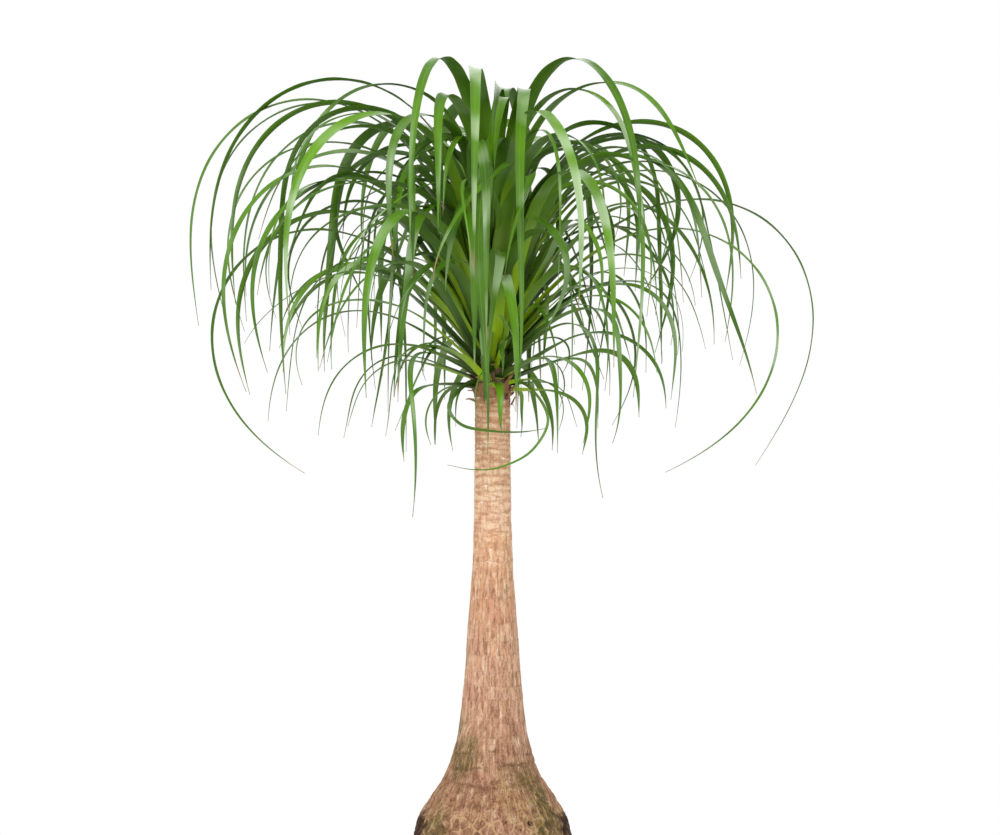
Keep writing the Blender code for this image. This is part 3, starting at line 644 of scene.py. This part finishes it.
def leafRule():
    rng = random.Random(crownForm["seed"])
    last = crownForm["count"] - 1
    leaves = [spiralLeaf(rng, i / last, i * crownForm["goldenAngle"]) for i in range(crownForm["count"])]
    for i in range(crownForm["ribbons"]):
        t = 0.34 + 0.62 * i / (crownForm["ribbons"] - 1)
        leaves.append({
            "height": t,
            "azimuth": i * crownForm["goldenAngle"] + math.radians(-92) + rng.uniform(-0.2, 0.2),
            "launch": math.radians(68 + 20 * t + rng.uniform(-7, 5)),
            "length": rng.uniform(0.68, 0.90),
            "curl": swing(rng, -14, 14),
            "start": rng.uniform(0.19, 0.29) - 0.08 * (1 - t),
            "stop": rng.uniform(0.56, 0.74),
            "even": rng.uniform(0.05, 0.18),
            "sway": swing(rng, -26, 26),
            "tipSway": swing(rng, -60, 60),
            "twist": swing(rng, -150, 150) * 0.6,
            "width": rng.uniform(0.0185, 0.0240),
            "lowest": rng.uniform(0.78, 0.93),
            "wander": swing(rng, -26, 26), "phase": rng.uniform(0, 6.28),
        })
    for t, azimuth, launch, length, curl, even, sway, tipSway, width, lowest in crownForm["long"]:
        leaves.append({
            "height": t, "azimuth": math.radians(azimuth), "launch": math.radians(launch), "length": length,
            "curl": math.radians(curl), "start": 0.16, "stop": 0.95, "even": even, "sway": math.radians(sway),
            "tipSway": math.radians(tipSway), "twist": math.radians(rng.uniform(-90, 90)) * 0.6,
            "width": width, "lowest": lowest,
            "wander": math.radians(rng.uniform(-12, 12)), "phase": rng.uniform(0, 6.28),
        })
    # finer leaves that fill the crown between the main ones
    for i in range(crownForm["fill"]):
        leaf = spiralLeaf(rng, (i + 0.5) / crownForm["fill"], (i + 0.5) * crownForm["goldenAngle"])
        leaf["width"] *= rng.uniform(0.35, 0.75)
        leaf["length"] *= 0.94
        leaf["wander"] *= 1.5
        leaf["twist"] *= 1.6
        leaves.append(leaf)
    leaves += [{"height": 0.05, "path": path, "width": width} for path, width in crownForm["wisps"]]
    return leaves


def wispCurve(path, width, steps):
    knots = np.array(path)
    knots = np.vstack([2 * knots[0] - knots[1], knots, 2 * knots[-1] - knots[-2]])
    u = np.linspace(0, 1, steps + 1)
    at = np.minimum(u * (len(path) - 1), len(path) - 1 - 1e-9)
    k, t = at.astype(int), (at - at.astype(int))[:, None]
    a, b, c, d = (knots[k + i] for i in range(4))
    points = 0.5 * (2 * b + (c - a) * t + (2 * a - 5 * b + 4 * c - d) * t ** 2
                    + (3 * b - a - 3 * c + d) * t ** 3)
    tangent = unit(np.gradient(points, axis=0))
    side = unit(np.cross(tangent, (0.25, 0.9, 0.2)))
    half = width / 2 * (0.94 * (1 - u ** 2.2) + 0.06 * (1 - u))
    length = float(np.linalg.norm(np.diff(points, axis=0), axis=1).sum())
    return u, points, side, np.cross(tangent, side), np.maximum(half, 0.0004), length


def crownHeight(t):
    return crownForm["base"] + (crownForm["top"] - crownForm["base"]) * t


def budRadius(t):
    return 0.024 - 0.004 * t - 0.012 * t ** 3


def leafCurve(leaf, steps):
    u = np.linspace(0, 1, steps + 1)
    mid = (u[1:] + u[:-1]) / 2
    bend = leaf["launch"] + math.pi / 2 + leaf["curl"]
    eased = (1 - leaf["even"]) * smooth((mid - leaf["start"]) / (leaf["stop"] - leaf["start"]))
    slope = (leaf["launch"] - bend * (eased + leaf["even"] * mid)
             + 0.45 * leaf["wander"] * np.cos(leaf["phase"] + 8 * mid) * smooth((mid - 0.2) / 0.4))
    heading = (leaf["azimuth"] + leaf["sway"] * smooth(mid / 0.7)
               + leaf["tipSway"] * np.clip(mid - 0.5, 0, 1) ** 1.5
               + leaf["wander"] * np.sin(leaf["phase"] + 7 * mid) * smooth(mid / 0.4))
    walk = np.stack([np.cos(slope) * np.cos(heading), np.cos(slope) * np.sin(heading), np.sin(slope)], 1)
    rootZ = crownHeight(leaf["height"])
    fall, rise = walk[:, 2].mean(), max(np.cumsum(walk[:, 2]).max() / steps, 0.05)
    length = min(leaf["length"], (crownForm["highest"] - 0.02 * leaf["even"] - rootZ) / rise)
    if rootZ + length * fall < leaf["lowest"]:
        length = max((leaf["lowest"] - rootZ) / fall, 0.14)
    radius = budRadius(leaf["height"]) - 0.004
    root = np.array([radius * math.cos(leaf["azimuth"]), radius * math.sin(leaf["azimuth"]), rootZ])
    points = np.vstack([root, root + np.cumsum(walk * length / steps, 0)])
    tangent = unit(np.gradient(points, axis=0))
    across = np.array([-math.sin(leaf["azimuth"]), math.cos(leaf["azimuth"]), 0])
    side = unit(across - (tangent @ across)[:, None] * tangent)
    face = np.cross(tangent, side)
    roll = (leaf["twist"] * smooth((u - 0.15) / 0.85))[:, None]
    side, face = side * np.cos(roll) + face * np.sin(roll), face * np.cos(roll) - side * np.sin(roll)
    taper = 0.94 * (1 - u ** 2.4) ** 0.95 + 0.06 * (1 - u)
    half = leaf["width"] / 2 * (0.8 + 0.2 * smooth(u / 0.12)) * taper
    return u, points, side, face, np.maximum(half, 0.0004), length


# one strap leaf as rings of eight points: edge to edge along the underside, then back over the top
def strapLeaf(leaf, rng):
    if "path" in leaf:
        u, points, side, face, half, length = wispCurve(leaf["path"], leaf["width"], crownForm["steps"])
    else:
        u, points, side, face, half, length = leafCurve(leaf, crownForm["steps"])
    half = half * (1 + crownForm["flare"] * (1 - smooth(u / 0.09)))
    gutter = 0.20 + 0.42 * (1 - smooth((u - 0.05) / 0.30)) + 0.12 * smooth((u - 0.7) / 0.3)
    phase, waves = rng.uniform(0, 6.3), length / rng.uniform(0.045, 0.09)
    ripple = crownForm["ripple"] * np.sin(phase + 2 * math.pi * waves * u) * smooth((u - 0.1) / 0.2) * (1 - u)
    thick = crownForm["midrib"] * (1 - 0.55 * u)
    rings = []
    for s, lower in crownForm["ring"]:
        lift = -half * gutter * (1 - s * s) + ripple * s * abs(s) - lower * thick * (1 - 0.35 * abs(s))
        rings.append(points + side * (half * s)[:, None] + face * lift[:, None])
    across, under = np.array(crownForm["ring"]).T
    count = len(u)
    return np.stack(rings, 1).reshape(-1, 3), {
        "along": np.repeat(u, 8), "across": np.tile(across, count), "under": np.tile(under, count),
        "tone": np.full(count * 8, rng.random()), "tipBrown": np.full(count * 8, rng.random()),
        "storey": np.full(count * 8, leaf["height"]),
    }


leafLook = {
    "heart": (178, 214, 4), "shade": (10, 26, 2), "blade": (76, 124, 14), "deep": (34, 72, 8),
    "bright": (108, 162, 22), "under": (84, 124, 30), "midrib": (132, 168, 54), "tip": (150, 120, 72),
    # sheen is a painted sheen, a pale tint standing in for light glancing off the blades
    "sheen": (194, 214, 176), "roughness": 0.32,
}


def leafMaterial():
    f = Finish("strapLeafGreen", leafLook)
    along, across, tone = f.attribute("along"), f.attribute("across"), f.attribute("tone")
    patchy = f.grain(0.05, 2.0, shift=3.0)
    f.colour = f.mix(f.ease(tone, 0.45, 1.0) * 0.55, f.tint("blade"), f.tint("bright"))
    f.stain(("deep", tone, 0.5, 0.0, 0.55), ("deep", along, 0.55, 1.0, 0.45),
            ("bright", patchy, 0.35, 0.65, 0.22))
    heart = f.ease(along, 0.42, 0.08)
    lime = f.ease(tone + 0.3 * f.attribute("storey"), 0.55, 0.80)
    f.paint(heart * lime * 0.92, "heart")
    # painted shade: the duller leaves darkened near their bases, deep in the crown's heart
    f.paint(heart * (1 - lime) * 0.80, "shade")
    vein, paintedSheenPatches = f.maths("SINE", across * 24.0), f.grain(0.085, 1.0, shift=7.0)
    # lighter vein stripes, then painted sheen (pale whitish bands over the outer leaf, standing in for
    # reflected light), then a lighter midrib
    f.stain(
        ("midrib", vein, 0.2, 1.0, 0.12),
        ("sheen", paintedSheenPatches, 0.50, 0.66, f.ease(along, 0.15, 0.40), 0.22 + 0.36 * f.ease(tone, 0.3, 0.9)),
        ("midrib", f.maths("ABSOLUTE", across), 0.16, 0.0, 0.28))
    under = f.ease(f.attribute("under"), 0.0, 0.08)
    f.paint(under * (0.60 - 0.45 * heart), "under")
    dry = along + f.attribute("tipBrown") * 0.10 + 0.02 * patchy
    f.stain(("tip", dry, 1.035, 1.06, 0.9))
    return f.surface(leafLook["roughness"] + 0.12 * under + 0.10 * patchy, specular=0.36)


leafFinish = leafMaterial()


def buildLeaves():
    rng = random.Random(5)
    groups = {"leavesLower": [], "leavesMiddle": [], "leavesUpper": []}
    for leaf in leafRule():
        name = list(groups)[min(2, int(leaf["height"] * 3))]
        groups[name].append(leaf)
    for name, leaves in groups.items():
        blades = Gathering()
        for leaf in leaves:
            points, marks = strapLeaf(leaf, rng)
            blades.add(points, tubeFaces(crownForm["steps"] + 1, 8), **marks)
        blades.piece(name, leafFinish, "leaf_crown", "leaf", (8, (0, 4)))
        print(name, len(leaves), "leaves")


buildLeaves()


# bud: the column of packed leaf bases that the leaves rise from
budForm = {
    "sheaths": 137, "deep": 22, "columns": 96, "rows": 90, "tip": 1.026, "scaleLift": 0.0016,
    "shoulder": 0.93, "cap": 0.07,
}
budLook = {
    "byHeight": ((0.0, (84, 54, 38)), (0.20, (112, 76, 50)), (0.34, (128, 120, 62)),
                 (0.55, (136, 158, 66)), (1.0, (160, 184, 84))),
    "edge": (70, 62, 30), "streak": (196, 200, 128),
}


def budMaterial():
    f = Finish("leafBaseSheaths", budLook)
    level = f.attribute("level")
    f.ramp(level + 0.12 * f.grain(0.01) - 0.06, budLook["byHeight"])
    f.paint(f.attribute("edge") * 0.55, "edge")
    streaks = f.grain(0.002, 3.0, (1, 1, 0.12))
    f.stain(("streak", streaks, 0.45, 0.65, 0.3))
    return f.surface(0.5 + 0.2 * streaks, streaks, 0.4, 0.0006)


def buildBud():
    rows, columns = budForm["rows"], budForm["columns"]
    t = np.linspace(-0.065, 1, rows)
    height, angle = np.repeat(t, columns), np.tile(fullTurn(columns), rows)
    # each point belongs to the highest leaf base that still wraps it
    index = height * budForm["sheaths"]
    lift, edge = np.zeros(len(index)), np.zeros(len(index))
    for back in range(budForm["deep"]):
        leaf = np.floor(index) - back
        away = np.abs(wrapped(angle - leaf * crownForm["goldenAngle"]))
        depth = (index - leaf) / budForm["deep"]
        wrap = 1 - smooth((away - 0.9 * (1 - depth)) / 0.25)
        level = wrap * (1 - depth)
        edge = np.where(level > lift, smooth((away - 0.72 * (1 - depth)) / 0.2) * wrap, edge)
        lift = np.maximum(lift, level)
    radius = budRadius(np.clip(height, 0, 1)) + budForm["scaleLift"] * (lift - 0.5)
    over, z = height - budForm["shoulder"], crownHeight(height)
    radius = radius * np.sqrt(np.clip(1.0 - smooth(over / budForm["cap"]) * 0.9, 0.02, 1))
    z = np.where(over > 0, z + (budForm["tip"] - crownForm["top"]) * over / budForm["cap"], z)
    z = np.maximum(z, stemTop + 0.0003)
    points = around(radius, angle, z)
    meshPiece("leafBud", points, tubeFaces(rows, columns), {"level": np.clip(height, 0, 1), "edge": edge},
              budMaterial(), "leaf_crown", "leaf")


buildBud()
print("bud built")


# withered leaf bases: torn dry stubs that clasp the stem under the crown
stubForm = {
    "count": 46, "low": round(stemTop - 0.015, 4), "high": round(stemTop + 0.053, 4), "inner": 0.0246,
    "fibres": 16, "fibreHigh": round(stemTop + 0.040, 4), "fresh": (23, 44), "sleeveColumns": 72,
    # height and how far it stands out, down the sleeve
    "sleeve": ((0.8985, 0.0), (0.8975, 0.0012), (0.895, 0.0015), (0.892, 0.0014), (0.889, 0.0011),
               (0.885, 0.0007), (0.881, 0.0002)),
}
stubLook = {"dark": (98, 62, 46), "pale": (172, 126, 92), "straw": (186, 152, 108), "shadow": (52, 32, 24),
            "torn": (196, 170, 126), "fresh": (166, 172, 74)}


def stubMaterial():
    f = Finish("dryLeafBases", stubLook)
    tone, along = f.attribute("tone"), f.attribute("along")
    streaks = f.grain(0.003, 4.0, (1, 1, 0.2))
    f.colour = f.mix(tone, f.tint("dark"), f.tint("pale"))
    f.stain(("straw", streaks, 0.45, 0.66, 0.5), ("shadow", streaks, 0.45, 0.25, 0.6),
            ("torn", along, 0.7, 1.0, 0.4))
    f.paint(f.attribute("fresh") * 0.9, "fresh")
    return f.surface(0.8 + 0.1 * streaks, streaks, 0.5, 0.0006, 0.3)


def buildStubs():
    rng = random.Random(14)
    stubs = Gathering()

    def addRings(rings, tone, fresh=0.0):
        count = rings.shape[1]
        along = np.repeat(np.linspace(0, 1, len(rings)), count)
        stubs.add(rings.reshape(-1, 3), tubeFaces(len(rings), count), tone=tone, along=along, fresh=fresh)

    # the sleeve that the stubs stand on
    turn, top = fullTurn(stubForm["sleeveColumns"]), stubForm["sleeve"][0][0]
    sleeve = []
    for level, stand in stubForm["sleeve"]:
        lump = around(1, turn, level * 60)
        reach = stubForm["inner"] + stand * (1 + 0.6 * cloud(lump, 0.5, 7))
        wave = level + 0.0050 * cloud(lump, 0.5, 9) * min(1, (top - level) / 0.006)
        sleeve.append(around(reach, turn, wave))
    addRings(np.stack(sleeve[::-1]), 0.7)

    for k in range(stubForm["count"]):
        share = k / (stubForm["count"] - 1)
        azimuth = k * crownForm["goldenAngle"] + rng.uniform(-0.15, 0.15)
        rootZ = stubForm["low"] + (stubForm["high"] - stubForm["low"]) * share
        radius = stubForm["inner"] + 0.0004 if rootZ < crownForm["base"] else budRadius(0.2)
        out = np.array([math.cos(azimuth), math.sin(azimuth), 0])
        side = np.array([-math.sin(azimuth), math.cos(azimuth), 0])
        length = rng.uniform(0.005, 0.011) * (1 + 1.0 * share)
        lift = math.radians(rng.uniform(5, 80))
        curl = rng.uniform(-1.0, 0.3)
        half = rng.uniform(0.0042, 0.0078)
        torn = [rng.uniform(-0.001, 0.0045) for _ in range(5)]
        place = out * (radius - 0.001) + np.array([0, 0, rootZ])
        rings = []
        for step in range(7):
            u = step / 6
            slope = lift + curl * u
            heading = out * math.cos(slope) + np.array([0, 0, math.sin(slope)])
            if step:
                place = place + heading * length / 6
            up = np.cross(heading, side)
            width = half * (1 - 0.45 * u ** 1.5)
            ring = []
            for s, lower in ((-1, 0.5), (-0.5, 1), (0, 1), (0.5, 1), (1, 0.5), (0.5, 0), (0, 0), (-0.5, 0)):
                tear = torn[int(round(s * 2)) + 2] * u ** 3
                ring.append(place + side * width * s - up * (width * 0.35 * (1 - s * s) + lower * 0.0009)
                            + heading * tear)
            rings.append(ring)
        addRings(np.array(rings), rng.random(), 1.0 if k in stubForm["fresh"] else 0.0)

    for _ in range(stubForm["fibres"]):
        azimuth, rootZ = rng.uniform(0, 2 * math.pi), rng.uniform(stubForm["low"], stubForm["fibreHigh"])
        heading = azimuth + rng.uniform(-0.8, 0.8)
        slope, droop = rng.uniform(-0.6, 0.7), rng.uniform(0.5, 2.4)
        length = rng.uniform(0.006, 0.015)
        place = around(0.0255, np.array([azimuth]), rootZ)[0]
        rings = []
        for step in range(7):
            angle = slope - droop * step / 6
            flat = math.cos(angle)
            way = np.array([flat * math.cos(heading), flat * math.sin(heading), math.sin(angle)])
            if step:
                place = place + way * length / 6
            sideways = np.array([-math.sin(heading), math.cos(heading), 0])
            above = np.cross(way, sideways)
            thin = 0.00045 * (1 - 0.6 * step / 6)
            rings.append([place + thin * (sideways * math.cos(a) + above * math.sin(a))
                          for a in (0, 2.1, 4.2)])
        addRings(np.array(rings)[:, ::-1], rng.random())
    stubs.piece("dryStubs", stubMaterial(), "old_leaf_bases", "dry_leaf")


buildStubs()
print("withered bases built")


# pot: turned clay with a rolled lip and faint throwing rings
potForm = {
    "height": potBox[1][2], "rim": potBox[1][0], "foot": 0.106, "wall": 0.008, "floor": 0.013,
    "band": 0.036, "step": 0.006,
    "columns": 192, "throwing": 0.00025,
}
potLook = {"clay": (178, 104, 74), "pale": (212, 158, 124), "dark": (138, 76, 54), "bloom": (222, 206, 186),
           "pore": (96, 56, 42), "grime": (96, 78, 58)}


def wallRadius(z, inset=0.0):
    top = potForm["rim"] - potForm["step"]
    return potForm["foot"] + (top - potForm["foot"]) * z / potForm["height"] - inset


def potProfile():
    height, rim, step = potForm["height"], potForm["rim"], potForm["step"]
    band = height - potForm["band"]
    corners = [
        (0.0, potForm["floor"], 0), (wallRadius(potForm["floor"], potForm["wall"]), potForm["floor"], 0.005),
        (wallRadius(height, potForm["wall"]), height, 0.0034), (rim, height, 0.0034),
        (wallRadius(band) + step, band, 0.0018), (wallRadius(band), band - 0.001, 0.0008),
        (wallRadius(0), 0.0, 0.0028), (0.0, 0.0, 0),
    ]
    profile = [np.array(corners[0][:2])]
    for before, here, after in zip(corners, corners[1:], corners[2:]):
        corner, cut = np.array(here[:2]), here[2]
        back, on = np.array(before[:2]) - corner, np.array(after[:2]) - corner
        start = corner + back / np.linalg.norm(back) * cut
        end = corner + on / np.linalg.norm(on) * cut
        last = profile[-1]
        pieces = max(1, int(np.linalg.norm(start - last) / 0.004))
        profile += [last + (start - last) * k / pieces for k in range(1, pieces + 1)]
        profile += [start * (1 - s) ** 2 + corner * 2 * s * (1 - s) + end * s * s
                    for s in (0.25, 0.5, 0.75, 1)]
    profile.append(np.array(corners[-1][:2]))
    return np.array(profile)


def turnedPiece(name, profile, columns, wobble, attributes, material, node, slot):
    # a profile from the axis outward and back to the axis, turned once round
    inner = profile[1:-1]
    reach, z = np.repeat(inner[:, 0], columns), np.repeat(inner[:, 1], columns)
    angle = np.tile(fullTurn(columns), len(inner))
    reach, z = wobble(reach, z, angle)
    points = around(reach, angle, z)
    points = np.vstack([points, (0, 0, profile[0][1]), (0, 0, profile[-1][1])])
    faces = [face[::-1] for face in tubeFaces(len(inner), columns, 0, False)]
    top, bottom, last = len(points) - 2, len(points) - 1, (len(inner) - 1) * columns
    for k in range(columns):
        n = (k + 1) % columns
        faces.append((k, n, top))
        faces.append((last + n, last + k, bottom))
    values = {key: make(points) for key, make in attributes.items()}
    return meshPiece(name, points, faces, values, material, node, slot)


def potMaterial():
    f = Finish("firedClay", potLook)
    broad, fine = f.grain(0.05, 4.0), f.grain(0.0025, 3.0, shift=5.0)
    f.colour = f.mix(f.ease(broad, 0.45, 0.68) * 0.5, f.tint("clay"), f.tint("pale"))
    level = f.attribute("level")
    bloom = f.grain(0.03, 5.0, (1, 1, 0.7), 8.0) + 0.10 * f.ease(level, 0.35, 0.0)
    f.stain(
        ("dark", broad, 0.46, 0.28, 0.5), ("pore", fine, 0.40, 0.26, 0.5), ("bloom", bloom, 0.56, 0.70, 0.42),
        ("grime", level, 0.965, 1.0, f.ease(fine, 0.35, 0.6), 0.5))
    return f.surface(0.74 + 0.16 * broad, fine + 0.6 * f.grain(0.008, 3.0, shift=1.0), 0.35, 0.0007, 0.3)


def potWobble(reach, z, angle):
    outer = reach > wallRadius(z, potForm["wall"] / 2)
    rings = np.sin(z * 1400 + 0.6 * np.sin(angle)) * smooth((z - 0.01) / 0.02)
    ring = around(1, angle, z * 8)
    return reach + np.where(outer, potForm["throwing"] * rings + 0.0004 * cloud(ring, 0.7, 4) - 0.0003, 0), z


turnedPiece("clayPot", potProfile(), potForm["columns"], potWobble,
            {"level": lambda p: p[:, 2] / potForm["height"]}, potMaterial(), "pot", "pot")
print("pot built")


# soil: crumbs, bark chips and grit on a lumpy surface
soilForm = {
    "level": round(soilBox[1][2] - 0.005, 4), "crown": 0.005, "columns": 240, "gap": 0.0004,
    "inner": 0.106, "outer": 0.136, "bowl": ((0, 0.161), (0.030, 0.163), (0.062, 0.175), (0.084, 0.194)),
    # what lies on it: how many, smallest and largest, shape, seed, finish
    "loose": {
        "soilCrumbs": (420, (0.0016, 0.0042), (1, 0.85, 0.7), 3, "soilCrumb"),
        "barkChips": (90, (0.0035, 0.0075), (1, 0.55, 0.28), 6, "barkChip"),
        "whiteGrit": (110, (0.0010, 0.0020), (1, 0.9, 0.8), 9, "pumiceGrit"),
    },
}
# each finish: dark tint, light tint, how much straw shows
soilLook = {
    "pottingSoil": ((34, 25, 19), (74, 56, 42), 0.35), "soilCrumb": ((30, 21, 16), (86, 64, 46), 0.4),
    "barkChip": ((78, 50, 34), (132, 92, 62), 0.5), "pumiceGrit": ((196, 190, 178), (236, 232, 222), 0.1),
    "straw": (150, 118, 84),
}


def soilMaterial(name):
    dark, light, spread = soilLook[name]
    f = Finish(name, soilLook)
    crumb, fine = f.grain(0.006, 4.0), f.grain(0.0016, 3.0, shift=3.0)
    f.colour = f.mix(f.ease(crumb, 0.38, 0.66), rgb(*dark), rgb(*light))
    f.stain(("straw", fine, 0.60, 0.72, spread))
    return f.surface(0.9 + 0.08 * fine, crumb + 0.6 * fine, 0.9, 0.0016, 0.2)


def soilHeight(x, y):
    place = np.stack([x, y, np.zeros_like(x)], 1)
    reach = np.hypot(x, y)
    crown = soilForm["crown"] * (1 - smooth((reach - 0.09) / 0.05))
    lumps = soilForm["level"] - 0.002 + crown + 0.0016 * cloud(place, 0.022, 17)
    return lumps + 0.0010 * cloud(place, 0.006, 27)


def soilWobble(reach, z, angle):
    top = z > 0.2
    lumpy = soilHeight(reach * np.cos(angle), reach * np.sin(angle))
    return reach, np.where(top, np.minimum(lumpy, potForm["height"] - 0.004), z)


def buildSoil():
    gap, floor, middle = potForm["wall"] + soilForm["gap"], potForm["floor"], 0.15
    edge, foot = wallRadius(soilForm["level"], gap), wallRadius(floor + 0.006, gap)
    dish = float(outlineRadius(0.226)) - 0.002
    profile = list(soilForm["bowl"]) + [(dish, 0.2005)]
    profile += [(dish + (edge - dish) * k / 26, 0.23) for k in range(27)]
    profile += [(wallRadius(middle, gap), middle), (foot, floor + 0.007)]
    profile += [(foot - 0.007, floor + soilForm["gap"]), (0, floor + soilForm["gap"])]
    turnedPiece("soilBed", np.array(profile), soilForm["columns"], soilWobble, {},
                soilMaterial("pottingSoil"), "soil", "soil")


def scatter(name, count, sizes, shape, seed, finish):
    # rough little lumps of twelve corners, lying on the soil
    rng = random.Random(seed)
    lumps = Gathering()
    base = np.array([(0, 0, 1), (1, 0, .3), (.3, .95, .3), (-.8, .6, .3), (-.8, -.6, .3), (.3, -.95, .3),
                     (.8, .6, -.4), (-.3, .95, -.4), (-1, 0, -.4), (-.3, -.95, -.4), (.8, -.6, -.4),
                     (0, 0, -1)], float)
    ringed = [(k, k % 5 + 1) for k in range(1, 6)]
    sides = [(0, k, n) for k, n in ringed]
    sides += [side for k, n in ringed for side in ((k, k + 5, n), (n, k + 5, n + 5))]
    sides += [(11, n + 5, k + 5) for k, n in ringed]
    for _ in range(count):
        reach = math.sqrt(rng.uniform(soilForm["inner"] ** 2, soilForm["outer"] ** 2))
        turn, size = rng.uniform(0, 2 * math.pi), rng.uniform(*sizes)
        lump = base * [[rng.uniform(0.75, 1.2)] for _ in base] * shape * size
        a, b = rng.uniform(0, 6.3), rng.uniform(-0.4, 0.4)
        spin = np.array([[math.cos(a), -math.sin(a), 0], [math.sin(a), math.cos(a), 0], [0, 0, 1]])
        tilt = np.array([[math.cos(b), 0, math.sin(b)], [0, 1, 0], [-math.sin(b), 0, math.cos(b)]])
        x, y = reach * math.cos(turn), reach * math.sin(turn)
        z = float(soilHeight(np.array([x]), np.array([y]))[0]) + size * shape[2] * 0.35
        lumps.add(lump @ (spin @ tilt).T + (x, y, z), sides)
    return lumps.piece(name, soilMaterial(finish), "soil", "soil")


buildSoil()
for name, kind in soilForm["loose"].items():
    scatter(name, *kind)
print("soil built")


# floor, light and camera
stageLook = {
    "floor": (244, 243, 240), "floorRadius": 1.45, "horizon": 1.0, "zenith": 0.50, "below": 0.42,
    # name, place, size, power
    "lights": (("keyLight", (-1.3, -2.3, 2.7), 1.4, 66), ("fillLight", (2.4, -1.8, 1.5), 1.6, 18),
               ("backLight", (0.6, 2.4, 2.4), 1.6, 14)),
    "aim": (0, 0, 0.85), "camera": (0.010, -3.6, 0.852), "lens": 96, "sensor": 36,
}


def buildStage():
    rim = around(stageLook["floorRadius"], fullTurn(64), -0.0005)
    mesh = bpy.data.meshes.new("studioFloor")
    mesh.from_pydata([tuple(p) for p in rim], [], [tuple(range(len(rim)))])
    f = Finish("paperFloor", stageLook)
    f.colour = f.tint("floor")
    mesh.materials.append(f.surface(0.9 + 0.05 * f.grain(0.2)))
    floor = bpy.data.objects.new("studioFloor", mesh)
    bpy.context.scene.collection.objects.link(floor)

    world = bpy.data.worlds.new("softStudio")
    bpy.context.scene.world = world
    w = Finish("", world=world)
    rise = w.node("SeparateXYZ", sockets={0: w.node("TexCoord")}, out=2)
    horizon = stageLook["horizon"]
    strength = (horizon - (horizon - stageLook["zenith"]) * w.ease(rise, 0.17, 0.50)
                - (horizon - stageLook["below"]) * w.ease(rise, -0.17, -0.45))
    shade = w.node("Background", sockets={"Color": (1, 1, 1, 1), "Strength": strength})
    w.node("OutputWorld", sockets={"Surface": shade})

    for name, place, size, power in stageLook["lights"]:
        lamp = bpy.data.lights.new(name, "AREA")
        lamp.energy, lamp.size = power, size
        lit = bpy.data.objects.new(name, lamp)
        lit.location = place
        lit.rotation_euler = (Vector(stageLook["aim"]) - Vector(place)).to_track_quat("-Z", "Y").to_euler()
        bpy.context.scene.collection.objects.link(lit)

    lens = bpy.data.cameras.new("camera")
    lens.lens, lens.sensor_width = stageLook["lens"], stageLook["sensor"]
    camera = bpy.data.objects.new("camera", lens)
    camera.location = stageLook["camera"]
    camera.rotation_euler = (math.pi / 2, 0, 0)
    bpy.context.scene.collection.objects.link(camera)
    bpy.context.scene.camera = camera
    bpy.context.scene.view_settings.view_transform = "Standard"


buildStage()
